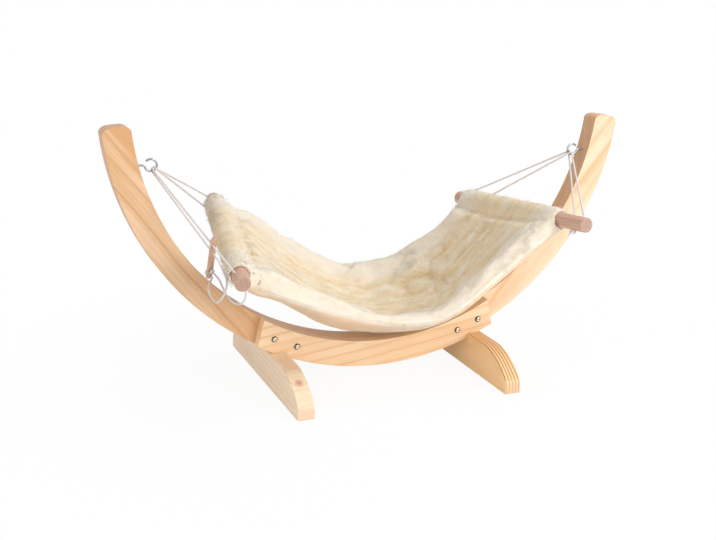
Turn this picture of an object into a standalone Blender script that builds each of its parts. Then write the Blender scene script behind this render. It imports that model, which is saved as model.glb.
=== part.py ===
"""Pet lounger: a padded hammock on a curved pine stand.

Two curved arms butt at the middle of an arc and a centre board bolts across them from the front.
Two cross feet carry the arc. A padded plush sling hangs on two dowels, and cotton ropes carry each
dowel from a screw hook near the top of each arm. The sling swings about the line through the hooks.

Metres, +Z up. X runs along the hammock, -Y is the front, and the origin is on the floor below the middle.
"""
from math import asin, cos, hypot, pi, radians, sin, tan

import bmesh
import bpy
from mathutils import Matrix, Vector

# Arc of the stand: both arms and the centre board follow the same two radii.
ARC_OUTER = 0.462
ARC_DEPTH = 0.045
ARC_LIFT = 0.0205
ARM_THICKNESS = 0.036
ARM_END_ANGLE = radians(84.6)
ARM_END_ROUND = 0.015
ARC_STEP = radians(2.4)
WOOD_EDGE = 0.003

# Centre board, bolted on the front of the arms.
BOARD_THICKNESS = 0.020
BOARD_HALF_LENGTH = 0.213
BOARD_END_LEAN = radians(12.5)

# Cross feet.
FOOT_X = 0.184
FOOT_THICKNESS = 0.029
FOOT_LENGTH = 0.369
FOOT_HEIGHT = 0.0616
FOOT_END_HEIGHT = 0.0165
FOOT_FLAT_TOP = 0.200
FOOT_END_PULL = 0.0145
FOOT_TOP_PULL = 0.035
FOOT_EDGE = 0.002

# Bolts through board and arms, with a washer and a cap nut behind.
BOLT_ANGLES = (radians(19.95), radians(25.6))
BOLT_DIAMETER = 0.006
BOLT_HEAD_DIAMETER = 0.0105
BOLT_HEAD_HEIGHT = 0.0033
BOLT_SOCKET_WIDTH = 0.004
BOLT_SOCKET_DEPTH = 0.002
BOLT_CLEARANCE = 0.0004
WASHER_DIAMETER = 0.0125
WASHER_THICKNESS = 0.0012
NUT_WIDTH = 0.010
NUT_HEIGHT = 0.005
NUT_DOME_HEIGHT = 0.005

# Wood screws that hold the feet, driven up from below.
FOOT_SCREW_DIAMETER = 0.0045
FOOT_SCREW_LENGTH = 0.064
FOOT_SCREW_HEAD_DIAMETER = 0.009
FOOT_SCREW_HEAD_HEIGHT = 0.003
FOOT_SCREW_RECESS = 0.009

# Screw hooks with an open eye.
HOOK_ANGLE = radians(75.6)
HOOK_WIRE = 0.0035
HOOK_EYE_RADIUS = 0.0095
HOOK_REACH = 0.0215
HOOK_BITE = 0.022
HOOK_EYE_START = radians(200)
HOOK_EYE_END = radians(500)
HOOK_FRONT_ROPE_ANGLE = radians(-73)
HOOK_BACK_ROPE_ANGLE = radians(-37)

# Dowels: centre, turn about the upright (front end outwards) and rise towards the back.
DOWEL_DIAMETER = 0.025
DOWEL_LENGTH = 0.360
DOWEL_EDGE = 0.0015
LEFT_DOWEL_CENTRE = Vector((-0.2619, -0.0040, 0.2555))
LEFT_DOWEL_TURN = radians(7.9)
LEFT_DOWEL_RISE = radians(8.5)
RIGHT_DOWEL_CENTRE = Vector((0.2633, -0.0279, 0.2779))
RIGHT_DOWEL_TURN = radians(-7.9)
RIGHT_DOWEL_RISE = radians(-3.9)

# Ropes: each one goes through the dowel, over its hook, back round the dowel and into its knot.
ROPE_DIAMETER = 0.003
ROPE_HOLE_DIAMETER = 0.0046
ROPE_HOLE_INSET = 0.022
ROPE_HOLE_ROLL = radians(43)
ROPE_WRAP_SHIFTS = {"front": 0.016, "back": 0.006}
ROPE_RISE = 0.002
ROPE_CORNER = 0.005
ROPE_HOOK_GAP = 0.0007
KNOT_DIAMETER = 0.008
KNOT_TAIL = 0.006

# Wooden cord runner on the front left rope, and the two slack tails that end in it.
RUNNER_LENGTH = 0.090
RUNNER_WIDTH = 0.011
RUNNER_THICKNESS = 0.004
RUNNER_HOLE_DIAMETER = 0.005
RUNNER_ROPE_INSET = 0.033
RUNNER_KNOT_INSETS = (0.070, 0.082)
RUNNER_ROPE_PLACE = Vector((-0.3132, -0.1084, 0.2610))
RUNNER_ROPE_OFFSET = 0.0007
RUNNER_DIRECTION = Vector((0.042, 0.527, -0.848))
UPPER_TAIL = (
    (-0.3077, -0.1220, 0.2511),
    (-0.3024, -0.1310, 0.2367),
    (-0.2992, -0.1380, 0.2235),
    (-0.3013, -0.1400, 0.2101),
    (-0.3067, -0.1370, 0.1961),
    (-0.3137, -0.1270, 0.1878),
    (-0.3189, -0.1150, 0.1963),
    (-0.3192, -0.1050, 0.2062),
)
LOWER_TAIL = (
    (-0.2771, -0.1650, 0.2106),
    (-0.2786, -0.1640, 0.1995),
    (-0.2848, -0.1570, 0.1911),
    (-0.2925, -0.1430, 0.1920),
    (-0.2966, -0.1260, 0.1985),
    (-0.2995, -0.1120, 0.2082),
    (-0.3017, -0.1020, 0.2160),
)

# Padded sling: sleeves round the dowels and a dished pad between them.
SLEEVE_WALL = 0.007
SLEEVE_START = 0.062
SLEEVE_END = 0.316
SLEEVE_EDGE = 0.005
PAD_MARGIN = 0.002
PAD_THICKNESS = 0.034
PAD_END_THICKNESS = 0.040
PAD_FRONT_FLARE = 0.018
PAD_BACK_FLARE = 0.014
PAD_CELLS_ALONG = 12
PAD_CELLS_ACROSS = 6
PAD_ROW_CROWDING = 0.6

# Across the pad each of these is given at the front edge, the middle and the back edge.
PAD_LOW_X = (0.035, 0.032, 0.010)
PAD_LOW_Y = (-0.141, -0.004, 0.158)
PAD_LOW_Z = (0.136, 0.091, 0.152)
PAD_LEFT_SLOPE = (-0.50, -1.05, -0.30)
PAD_RIGHT_SLOPE = (0.32, 1.80, 1.27)

# Everything is moved back by this much, so that the whole stands centred on the origin.
CENTRE_SHIFT = 0.0115

# Gap kept between pieces that touch.
GAP = 0.0003

ARC_INNER = ARC_OUTER - ARC_DEPTH
ARC_MIDDLE = ARC_OUTER - ARC_DEPTH / 2
ARC_CENTRE_Z = ARC_OUTER + ARC_LIFT
ARM_FRONT = -ARM_THICKNESS / 2
ARM_BACK = ARM_THICKNESS / 2
BOARD_FRONT = ARM_FRONT - GAP - BOARD_THICKNESS
HOOK_ENTRY_X = ARC_INNER * sin(HOOK_ANGLE)
HOOK_Z = ARC_CENTRE_Z - ARC_INNER * cos(HOOK_ANGLE)
HOOK_EYE_X = HOOK_ENTRY_X - HOOK_REACH
SWING_AXIS_Z = HOOK_Z + HOOK_EYE_RADIUS * (sin(HOOK_FRONT_ROPE_ANGLE) + sin(HOOK_BACK_ROPE_ANGLE)) / 2
DOWEL_RADIUS = DOWEL_DIAMETER / 2
ROPE_RADIUS = ROPE_DIAMETER / 2

PINE = ((0.905, 0.597, 0.323), 0.42, 0.0)
BEECH = ((0.578, 0.376, 0.270), 0.55, 0.0)
PLUSH = ((0.831, 0.708, 0.497), 0.95, 0.0)
COTTON = ((0.760, 0.716, 0.665), 0.90, 0.0)
ZINC_STEEL = ((0.560, 0.570, 0.580), 0.30, 1.0)


def clear_scene():
    for old in list(bpy.data.objects):
        bpy.data.objects.remove(old, do_unlink=True)


def new_collection(name):
    collection = bpy.data.collections.new(name)
    bpy.context.scene.collection.children.link(collection)
    return collection


clear_scene()
parts = new_collection("pet_lounger")
cutters = new_collection("cutters")


def give_material(piece, finish):
    """Gives a piece its own Principled material in one of the finishes named above."""
    colour, roughness, metallic = finish
    material = bpy.data.materials.new(piece.name)
    material.use_nodes = True
    shader = material.node_tree.nodes["Principled BSDF"]
    shader.inputs["Base Color"].default_value = (*colour, 1.0)
    shader.inputs["Roughness"].default_value = roughness
    shader.inputs["Metallic"].default_value = metallic
    piece.data.materials.clear()
    piece.data.materials.append(material)


def add_empty(name, place):
    empty = bpy.data.objects.new(name, None)
    empty.empty_display_size = 0.03
    empty.location = place
    parts.objects.link(empty)
    return empty


def mesh_object(name, mesh_builder, collection):
    """Makes an object from a bmesh with its faces pointing out."""
    bmesh.ops.recalc_face_normals(mesh_builder, faces=mesh_builder.faces)
    mesh = bpy.data.meshes.new(name)
    mesh_builder.to_mesh(mesh)
    mesh_builder.free()
    piece = bpy.data.objects.new(name, mesh)
    collection.objects.link(piece)
    return piece


def hang_on(piece, parent):
    """Parents a piece to an empty and keeps its place."""
    piece.parent = parent
    piece.location -= parent.location


def round_edges(piece, width, segments=2, angle=radians(40)):
    bevel = piece.modifiers.new("rounded_edges", "BEVEL")
    bevel.width = width
    bevel.segments = segments
    bevel.limit_method = "ANGLE"
    bevel.angle_limit = angle


def cut(piece, cutter):
    cutter.hide_render = True
    cutter.display_type = "WIRE"
    knife = piece.modifiers.new("cut_" + cutter.name, "BOOLEAN")
    knife.operation = "DIFFERENCE"
    knife.object = cutter


def join(piece, other):
    other.hide_render = True
    other.display_type = "WIRE"
    weld = piece.modifiers.new("join_" + other.name, "BOOLEAN")
    weld.operation = "UNION"
    weld.object = other


def flat_solid(name, outline, thickness, collection):
    """Solid board from an outline drawn in the curve's XY plane, thick along its Z."""
    curve = bpy.data.curves.new(name, "CURVE")
    curve.dimensions = "2D"
    curve.fill_mode = "BOTH"
    curve.extrude = thickness / 2
    spline = curve.splines.new("POLY")
    spline.points.add(len(outline) - 1)
    for point, (a, b) in zip(spline.points, outline):
        point.co = (a, b, 0.0, 1.0)
    spline.use_cyclic_u = True
    return mesh_from_curve(name, curve, collection)


def mesh_from_curve(name, curve, collection):
    """Turns a filled curve into a closed mesh whose flat faces are single faces."""
    holder = bpy.data.objects.new(name + "_curve", curve)
    cutters.objects.link(holder)
    graph = bpy.context.evaluated_depsgraph_get()
    mesh = bpy.data.meshes.new_from_object(holder.evaluated_get(graph))
    bpy.data.objects.remove(holder, do_unlink=True)
    builder = bmesh.new()
    builder.from_mesh(mesh)
    bpy.data.meshes.remove(mesh)
    bmesh.ops.remove_doubles(builder, verts=builder.verts, dist=0.00001)
    bmesh.ops.dissolve_limit(builder, angle_limit=radians(0.5), verts=builder.verts, edges=builder.edges)
    return mesh_object(name, builder, collection)


def rod(name, start, end, radius, sides, collection):
    """Straight round rod between two points, with its origin halfway."""
    start, end = Vector(start), Vector(end)
    builder = bmesh.new()
    bmesh.ops.create_cone(
        builder, cap_ends=True, segments=sides, radius1=radius, radius2=radius, depth=(end - start).length
    )
    piece = mesh_object(name, builder, collection)
    piece.location = (start + end) / 2
    piece.rotation_euler = (end - start).to_track_quat("Z", "Y").to_euler()
    return piece


def turned(name, profile, sides, collection):
    """Turned piece: a profile of radius and height, from top to bottom, spun about Z."""
    builder = bmesh.new()
    corners = [builder.verts.new((radius, 0.0, height)) for radius, height in profile]
    for first, second in zip(corners, corners[1:]):
        builder.edges.new((first, second))
    mesh = bpy.data.meshes.new(name)
    builder.to_mesh(mesh)
    builder.free()
    piece = bpy.data.objects.new(name, mesh)
    collection.objects.link(piece)
    spin = piece.modifiers.new("spin", "SCREW")
    spin.angle = 2 * pi
    spin.steps = sides
    spin.render_steps = sides
    spin.use_merge_vertices = True
    spin.merge_threshold = 0.00001
    return piece


def tube(name, points, diameter, sides_level=2):
    """Round wire or rope along points, with its origin at the first one."""
    curve = bpy.data.curves.new(name, "CURVE")
    curve.dimensions = "3D"
    curve.bevel_depth = diameter / 2
    curve.bevel_resolution = sides_level
    curve.use_fill_caps = True
    spline = curve.splines.new("POLY")
    spline.points.add(len(points) - 1)
    for target, point in zip(spline.points, points):
        target.co = (*(point - points[0]), 1.0)
    piece = bpy.data.objects.new(name, curve)
    piece.location = points[0]
    parts.objects.link(piece)
    return piece


def rounded_route(points, radius, steps=4):
    """Replaces each inner corner of a route by a smooth bend of about the radius."""
    route = [points[0]]
    for before, corner, after in zip(points, points[1:], points[2:]):
        arriving = (corner - before).normalized()
        leaving = (after - corner).normalized()
        turn = arriving.angle(leaving)
        reach = radius * tan(turn / 2)
        for step in range(steps + 1):
            t = step / steps
            straight_in = corner - arriving * reach * (1 - t)
            straight_out = corner + leaving * reach * t
            route.append(straight_in.lerp(straight_out, t))
    route.append(points[-1])
    return route


def smooth_route(points, step):
    """Reads even points from a smooth curve through a route's own points."""
    ends = [2 * points[0] - points[1], *points, 2 * points[-1] - points[-2]]
    fine = []
    for p0, p1, p2, p3 in zip(ends, ends[1:], ends[2:], ends[3:]):
        for k in range(12):
            t = k / 12
            pull_in = (p2 - p0) / 2
            pull_out = (p3 - p1) / 2
            fine.append(
                p1 * (2 * t**3 - 3 * t**2 + 1)
                + pull_in * (t**3 - 2 * t**2 + t)
                + p2 * (3 * t**2 - 2 * t**3)
                + pull_out * (t**3 - t**2)
            )
    fine.append(points[-1])
    route = [fine[0]]
    for point in fine[1:-1]:
        if (point - route[-1]).length >= step:
            route.append(point)
    if (fine[-1] - route[-1]).length < step / 2:
        route.pop()
    route.append(fine[-1])
    return route


def arc_points(radius, start, end):
    """Points on an arc about the stand's centre, as x and z, by angle from straight down."""
    count = max(2, round(abs(end - start) / ARC_STEP))
    angles = [start + (end - start) * k / count for k in range(count + 1)]
    return [(radius * sin(a), ARC_CENTRE_Z - radius * cos(a)) for a in angles]


def stand_board(name, outline, front, thickness, collection):
    """Board drawn in x and z, with its front face at the given y."""
    board = flat_solid(name, outline, thickness, collection)
    board.rotation_euler = (pi / 2, 0.0, 0.0)
    board.location = (0.0, front + thickness / 2, 0.0)
    return board


def arm_outline(side):
    """Outline of one arm: outer arc, rounded end, inner arc and a square end at the middle."""
    share = ARM_END_ROUND / ARC_MIDDLE
    outer = arc_points(ARC_OUTER, asin(GAP / 2 / ARC_OUTER), ARM_END_ANGLE - share)
    inner = arc_points(ARC_INNER, ARM_END_ANGLE - share, asin(GAP / 2 / ARC_INNER))
    corner_steps = 4
    end = []
    for k in range(1, corner_steps):
        turn = pi / 2 * k / corner_steps
        radius = ARC_OUTER - ARM_END_ROUND * (1 - cos(turn))
        angle = ARM_END_ANGLE - share * (1 - sin(turn))
        end.append((radius * sin(angle), ARC_CENTRE_Z - radius * cos(angle)))
    for k in range(1, corner_steps):
        turn = pi / 2 * (1 - k / corner_steps)
        radius = ARC_INNER + ARM_END_ROUND * (1 - cos(turn))
        angle = ARM_END_ANGLE - share * (1 - sin(turn))
        end.append((radius * sin(angle), ARC_CENTRE_Z - radius * cos(angle)))
    return [(side * x, z) for x, z in outer + end + inner]


def board_outline(radius_gap=0.0):
    """Outline of the centre board, whose ends lean a little from the upright."""
    outer_end = lean_end_angle(ARC_OUTER)
    inner_end = lean_end_angle(ARC_INNER)
    outer = arc_points(ARC_OUTER + radius_gap, -outer_end, outer_end)
    inner = arc_points(ARC_INNER - radius_gap, inner_end, -inner_end)
    return outer + inner


def lean_end_angle(radius):
    """Angle at which the leaning end cut crosses an arc of the given radius."""
    middle = asin(BOARD_HALF_LENGTH / ARC_MIDDLE)
    height = (ARC_CENTRE_Z - radius * cos(middle)) - (ARC_CENTRE_Z - ARC_MIDDLE * cos(middle))
    return asin((BOARD_HALF_LENGTH - height * tan(BOARD_END_LEAN)) / radius)


def bolt_place(side, angle):
    return side * ARC_MIDDLE * sin(angle), ARC_CENTRE_Z - ARC_MIDDLE * cos(angle)


def bolt_hole(name, x, z):
    return rod(
        name, (x, BOARD_FRONT - 0.01, z), (x, ARM_BACK + 0.01, z),
        BOLT_DIAMETER / 2 + BOLT_CLEARANCE, 16, cutters,
    )


def foot_screw_y():
    """Screws of a foot: one into the centre board, one into the arm."""
    return BOARD_FRONT + BOARD_THICKNESS / 2, ARM_THICKNESS * 0.12


def screw_hole(name, x, y):
    return rod(
        name, (x, y, -0.01), (x, y, FOOT_SCREW_RECESS + FOOT_SCREW_LENGTH + 0.001),
        FOOT_SCREW_DIAMETER / 2 + GAP, 12, cutters,
    )


def make_stand():
    """Arms, centre board and feet, with the holes that join them."""
    left_arm = stand_board("left_arm", arm_outline(-1), ARM_FRONT, ARM_THICKNESS, parts)
    right_arm = stand_board("right_arm", arm_outline(1), ARM_FRONT, ARM_THICKNESS, parts)
    board = stand_board("centre_board", board_outline(), BOARD_FRONT, BOARD_THICKNESS, parts)
    for piece in (left_arm, right_arm, board):
        round_edges(piece, WOOD_EDGE)
    feet = [make_foot("left_foot", -1), make_foot("right_foot", 1)]
    for side, arm, foot, word in ((-1, left_arm, feet[0], "left"), (1, right_arm, feet[1], "right")):
        for number, angle in enumerate(BOLT_ANGLES, start=1):
            x, z = bolt_place(side, angle)
            hole = bolt_hole(f"{word}_bolt_hole_{number}", x, z)
            cut(arm, hole)
            cut(board, hole)
        front_y, back_y = foot_screw_y()
        front_hole = screw_hole(f"{word}_front_screw_hole", side * FOOT_X, front_y)
        back_hole = screw_hole(f"{word}_back_screw_hole", side * FOOT_X, back_y)
        cut(board, front_hole)
        cut(arm, back_hole)
        cut(foot, front_hole)
        cut(foot, back_hole)
        for number, y in enumerate((front_y, back_y), start=1):
            recess = rod(
                f"{word}_screw_recess_{number}", (side * FOOT_X, y, -0.01),
                (side * FOOT_X, y, FOOT_SCREW_RECESS), FOOT_SCREW_HEAD_DIAMETER / 2 + GAP, 16, cutters,
            )
            cut(foot, recess)
        hook_hole = rod(
            f"{word}_hook_hole", (side * (HOOK_ENTRY_X - 0.01), 0.0, HOOK_Z),
            (side * (HOOK_ENTRY_X + HOOK_BITE + 0.001), 0.0, HOOK_Z), HOOK_WIRE / 2 + GAP, 12, cutters,
        )
        cut(arm, hook_hole)
    for piece in (left_arm, right_arm, board, *feet):
        give_material(piece, PINE)


def make_foot(name, side):
    """Cross foot: flat below, upright ends, curved shoulders and a notch that the arc sits in."""
    half = FOOT_LENGTH / 2
    flat = FOOT_FLAT_TOP / 2
    curve = bpy.data.curves.new(name, "CURVE")
    curve.dimensions = "2D"
    curve.fill_mode = "BOTH"
    curve.extrude = FOOT_THICKNESS / 2
    curve.resolution_u = 8
    spline = curve.splines.new("BEZIER")
    spline.bezier_points.add(5)
    corners = [
        ((-half, 0.0), None, None),
        ((half, 0.0), None, None),
        ((half, FOOT_END_HEIGHT), None, (half, FOOT_END_HEIGHT + FOOT_END_PULL)),
        ((flat, FOOT_HEIGHT), (flat + FOOT_TOP_PULL, FOOT_HEIGHT), None),
        ((-flat, FOOT_HEIGHT), None, (-flat - FOOT_TOP_PULL, FOOT_HEIGHT)),
        ((-half, FOOT_END_HEIGHT), (-half, FOOT_END_HEIGHT + FOOT_END_PULL), None),
    ]
    for point, (place, handle_in, handle_out) in zip(spline.bezier_points, corners):
        point.handle_left_type = "FREE" if handle_in else "VECTOR"
        point.handle_right_type = "FREE" if handle_out else "VECTOR"
        point.co = (*place, 0.0)
        point.handle_left = (*(handle_in or place), 0.0)
        point.handle_right = (*(handle_out or place), 0.0)
    spline.use_cyclic_u = True
    foot = mesh_from_curve(name, curve, parts)
    foot.rotation_euler = (pi / 2, 0.0, pi / 2)
    foot.location = (side * FOOT_X, 0.0, 0.0)
    round_edges(foot, FOOT_EDGE)
    notch_depth = ARM_BACK - BOARD_FRONT + 2 * GAP
    notch = stand_board(name + "_notch", board_outline(GAP), BOARD_FRONT - GAP, notch_depth, cutters)
    cut(foot, notch)
    return foot


def make_bolts():
    """Socket bolts with a washer and a cap nut, two at each end of the centre board."""
    head = BOLT_HEAD_DIAMETER / 2
    shank = BOLT_DIAMETER / 2
    grip = ARM_BACK - BOARD_FRONT + WASHER_THICKNESS + 2 * GAP + NUT_HEIGHT
    bolt_profile = [
        (0.0, BOLT_HEAD_HEIGHT), (head * 0.55, BOLT_HEAD_HEIGHT), (head * 0.85, BOLT_HEAD_HEIGHT * 0.72),
        (head, BOLT_HEAD_HEIGHT * 0.25), (head, GAP), (shank, GAP), (shank, -grip), (0.0, -grip),
    ]
    turns = [radians(90), radians(65), radians(40), radians(15)]
    dome = [(NUT_WIDTH / 2 * cos(turn), NUT_DOME_HEIGHT * sin(turn)) for turn in turns]
    for side, word in ((-1, "left"), (1, "right")):
        for number, angle in enumerate(BOLT_ANGLES, start=1):
            x, z = bolt_place(side, angle)
            bolt = turned(f"{word}_bolt_{number}", bolt_profile, 16, parts)
            bolt.rotation_euler = (pi / 2, 0.0, 0.0)
            bolt.location = (x, BOARD_FRONT, z)
            socket = rod(
                f"{word}_bolt_socket_{number}",
                (x, BOARD_FRONT - BOLT_HEAD_HEIGHT - 0.002, z),
                (x, BOARD_FRONT - BOLT_HEAD_HEIGHT + BOLT_SOCKET_DEPTH, z),
                BOLT_SOCKET_WIDTH / 2 / cos(pi / 6), 6, cutters,
            )
            cut(bolt, socket)
            give_material(bolt, ZINC_STEEL)
            washer = rod(
                f"{word}_washer_{number}", (x, ARM_BACK + GAP, z),
                (x, ARM_BACK + GAP + WASHER_THICKNESS, z), WASHER_DIAMETER / 2, 20, parts,
            )
            washer_bore = rod(
                f"{word}_washer_bore_{number}", (x, ARM_BACK - 0.001, z),
                (x, ARM_BACK + WASHER_THICKNESS + 0.001, z), shank + BOLT_CLEARANCE, 12, cutters,
            )
            cut(washer, washer_bore)
            give_material(washer, ZINC_STEEL)
            make_cap_nut(f"{word}_cap_nut_{number}", x, z, shank, dome)


def make_cap_nut(name, x, z, shank, dome):
    """Hexagon nut with a domed cap, bored to take the end of its bolt."""
    seat = ARM_BACK + 2 * GAP + WASHER_THICKNESS
    nut = rod(name, (x, seat, z), (x, seat + NUT_HEIGHT, z), NUT_WIDTH / 2 / cos(pi / 6), 6, parts)
    cap = turned(name + "_dome", [*dome, (NUT_WIDTH / 2, -0.001), (0.0, -0.001)], 12, cutters)
    cap.rotation_euler = (-pi / 2, 0.0, 0.0)
    cap.location = (x, seat + NUT_HEIGHT, z)
    join(nut, cap)
    bore = rod(
        name + "_bore", (x, seat - 0.002, z), (x, seat + NUT_HEIGHT + GAP, z), shank + GAP, 12, cutters,
    )
    cut(nut, bore)
    give_material(nut, ZINC_STEEL)


def make_foot_screws():
    """Countersunk wood screws that pull each foot up against the arc."""
    shank = FOOT_SCREW_DIAMETER / 2
    head = FOOT_SCREW_HEAD_DIAMETER / 2
    profile = [
        (0.0, FOOT_SCREW_LENGTH), (shank * 0.4, FOOT_SCREW_LENGTH - shank),
        (shank, FOOT_SCREW_LENGTH - 3 * shank), (shank, GAP), (head, -GAP),
        (head, -FOOT_SCREW_HEAD_HEIGHT), (0.0, -FOOT_SCREW_HEAD_HEIGHT),
    ]
    for side, word in ((-1, "left"), (1, "right")):
        for number, y in enumerate(foot_screw_y(), start=1):
            screw = turned(f"{word}_foot_screw_{number}", profile, 12, parts)
            screw.location = (side * FOOT_X, y, FOOT_SCREW_RECESS - GAP)
            give_material(screw, ZINC_STEEL)


def hook_route(side):
    """Wire of a screw hook: straight shank, a small bend and an open eye centred on the shank."""
    rise = HOOK_EYE_START - pi
    bend = HOOK_EYE_RADIUS * sin(rise) / (1 - cos(pi / 2 - rise))
    bend_start = -HOOK_EYE_RADIUS * cos(rise) - bend * sin(pi / 2 - rise)
    points = [(-HOOK_REACH - HOOK_BITE, 0.0), (bend_start, 0.0)]
    for k in (1, 2, 3):
        turn = (pi / 2 - rise) * k / 3
        points.append((bend_start + bend * sin(turn), -bend * (1 - cos(turn))))
    steps = 22
    for k in range(1, steps + 1):
        angle = HOOK_EYE_START + (HOOK_EYE_END - HOOK_EYE_START) * k / steps
        points.append((HOOK_EYE_RADIUS * cos(angle), HOOK_EYE_RADIUS * sin(angle)))
    return [Vector((side * (HOOK_EYE_X - x), 0.0, HOOK_Z + z)) for x, z in points]


def make_hooks():
    for side, name in ((-1, "left_hook"), (1, "right_hook")):
        hook = tube(name, hook_route(side), HOOK_WIRE)
        give_material(hook, ZINC_STEEL)


class Dowel:
    """Where a dowel lies, with places on it measured from its front end."""

    def __init__(self, centre, turn, rise, side):
        self.centre = centre
        self.side = side
        self.axis = Vector((sin(turn) * cos(rise), cos(turn) * cos(rise), sin(rise)))
        self.up = (Vector((0.0, 0.0, 1.0)) - self.axis * self.axis.z).normalized()
        self.outward = self.axis.cross(self.up).normalized()
        if self.outward.x * side < 0:
            self.outward.negate()
        self.hole_axis = self.up * cos(ROPE_HOLE_ROLL) + self.outward * sin(ROPE_HOLE_ROLL)

    def at(self, distance):
        return self.centre + self.axis * (distance - DOWEL_LENGTH / 2)

    def hole(self, end):
        return self.at(ROPE_HOLE_INSET if end == "front" else DOWEL_LENGTH - ROPE_HOLE_INSET)

    def middle_shift(self, end, distance):
        """Step along the dowel from one of its ends towards its middle."""
        return self.axis * (distance if end == "front" else -distance)

    def around(self, angle, radius):
        """Step from the dowel's axis, at an angle from its outer side towards its top."""
        return (self.outward * cos(angle) + self.up * sin(angle)) * radius


left_dowel = Dowel(LEFT_DOWEL_CENTRE, LEFT_DOWEL_TURN, LEFT_DOWEL_RISE, -1)
right_dowel = Dowel(RIGHT_DOWEL_CENTRE, RIGHT_DOWEL_TURN, RIGHT_DOWEL_RISE, 1)


def make_dowels(pivot):
    for word, dowel in (("left", left_dowel), ("right", right_dowel)):
        piece = rod(word + "_dowel", dowel.at(0.0), dowel.at(DOWEL_LENGTH), DOWEL_RADIUS, 28, parts)
        round_edges(piece, DOWEL_EDGE, segments=1)
        for end in ("front", "back"):
            middle = dowel.hole(end)
            reach = dowel.hole_axis * (DOWEL_RADIUS + 0.005)
            hole = rod(
                f"{word}_dowel_{end}_hole", middle - reach, middle + reach,
                ROPE_HOLE_DIAMETER / 2, 12, cutters,
            )
            cut(piece, hole)
        give_material(piece, BEECH)
        hang_on(piece, pivot)


def hook_contact(side, end):
    """Where a rope sits on its hook, and the wire's direction there."""
    angle = HOOK_FRONT_ROPE_ANGLE if end == "front" else HOOK_BACK_ROPE_ANGLE
    x = HOOK_EYE_X - HOOK_EYE_RADIUS * cos(angle)
    z = HOOK_Z + HOOK_EYE_RADIUS * sin(angle)
    return Vector((side * x, 0.0, z)), Vector((side * sin(angle), 0.0, cos(angle)))


def rope_over_hook(dowel, end):
    """Bend of a rope over its hook wire, from its upper strand to its lower one."""
    contact, wire = hook_contact(dowel.side, end)
    pull = (contact - dowel.hole(end)).normalized()
    across = wire.cross(pull).normalized()
    if across.z < 0:
        across.negate()
    over = wire.cross(across).normalized()
    if over.dot(pull) < 0:
        over.negate()
    bend = HOOK_WIRE / 2 + ROPE_RADIUS + ROPE_HOOK_GAP
    steps = 10
    turns = [pi * k / steps for k in range(steps + 1)]
    return [contact + across * bend * cos(turn) + over * bend * sin(turn) for turn in turns]


def rope_rising(dowel, end, over):
    """First half of a rope: out of its knot, through the dowel and straight up to the hook."""
    middle = dowel.hole(end)
    below = middle - dowel.hole_axis * (DOWEL_RADIUS + 0.001)
    above = middle + dowel.hole_axis * (DOWEL_RADIUS + ROPE_RISE + ROPE_CORNER / 2)
    return rounded_route([below, above, over[0]], ROPE_CORNER)[:-1]


def knot_place(dowel, end):
    return dowel.hole(end) - dowel.hole_axis * (DOWEL_RADIUS + 0.001 + GAP + KNOT_DIAMETER / 2)


def rope_round_dowel(dowel, end, over):
    """Second half of a rope: straight down from the hook, round the dowel's outer side, to the knot."""
    start = dowel.hole(end) + dowel.middle_shift(end, ROPE_WRAP_SHIFTS[end])
    radius = DOWEL_RADIUS + ROPE_RADIUS + GAP
    arm = over[-1] - start
    arm_angle = Vector((arm.dot(dowel.outward), arm.dot(dowel.up))).angle_signed(Vector((1.0, 0.0)))
    reach = hypot(arm.dot(dowel.outward), arm.dot(dowel.up))
    touch = arm_angle - (pi / 2 - asin(radius / reach))
    stop = ROPE_HOLE_ROLL * -1 - pi / 2 + radians(27)
    steps = 8
    route = []
    for k in range(steps + 1):
        t = k / steps
        shift = dowel.middle_shift(end, -(ROPE_WRAP_SHIFTS[end] - 0.002) * t)
        grown = radius + 0.002 * t * t
        route.append(start + shift + dowel.around(touch + (stop - touch) * t, grown))
    knot = knot_place(dowel, end)
    route.append(knot + (route[-1] - knot).normalized() * (KNOT_DIAMETER / 2 + GAP))
    return route


def make_ropes(pivot):
    for dowel, word in ((left_dowel, "left"), (right_dowel, "right")):
        for end in ("front", "back"):
            over = rope_over_hook(dowel, end)
            rising = rope_rising(dowel, end, over)
            if (word, end) == ("left", "front"):
                strand = (RUNNER_ROPE_PLACE - over[-1]).normalized()
                falling = [RUNNER_ROPE_PLACE, RUNNER_ROPE_PLACE + strand * 0.005]
            else:
                falling = rope_round_dowel(dowel, end, over)
                knot = make_knot(f"{word}_{end}_knot", knot_place(dowel, end), dowel.hole_axis)
                hang_on(knot, pivot)
            rope = tube(f"{word}_{end}_rope", rising + over + falling, ROPE_DIAMETER)
            give_material(rope, COTTON)
            hang_on(rope, pivot)


def make_knot(name, place, upward):
    """Knot that ties both ends of a rope, with a short tail below."""
    radius = KNOT_DIAMETER / 2
    profile = [
        (0.0, radius), (radius * 0.6, radius * 0.8), (radius * 0.95, radius * 0.3),
        (radius * 0.95, -radius * 0.3), (radius * 0.65, -radius * 0.8), (ROPE_RADIUS, -radius),
        (ROPE_RADIUS, -radius - KNOT_TAIL), (0.0, -radius - KNOT_TAIL),
    ]
    knot = turned(name, profile, 10, parts)
    knot.location = place
    knot.rotation_euler = upward.to_track_quat("Z", "Y").to_euler()
    give_material(knot, COTTON)
    return knot


def runner_axes():
    """Directions of the cord runner: along it, across it and through its holes."""
    strand = (RUNNER_ROPE_PLACE - rope_over_hook(left_dowel, "front")[-1]).normalized()
    along = RUNNER_DIRECTION.normalized()
    through = (strand - along * strand.dot(along)).normalized()
    return along, through.cross(along).normalized(), through


def on_runner(inset):
    """Place on the runner's middle line, at a distance from its upper end."""
    along, across, through = runner_axes()
    return RUNNER_ROPE_PLACE - across * RUNNER_ROPE_OFFSET + along * (inset - RUNNER_ROPE_INSET)


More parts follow.
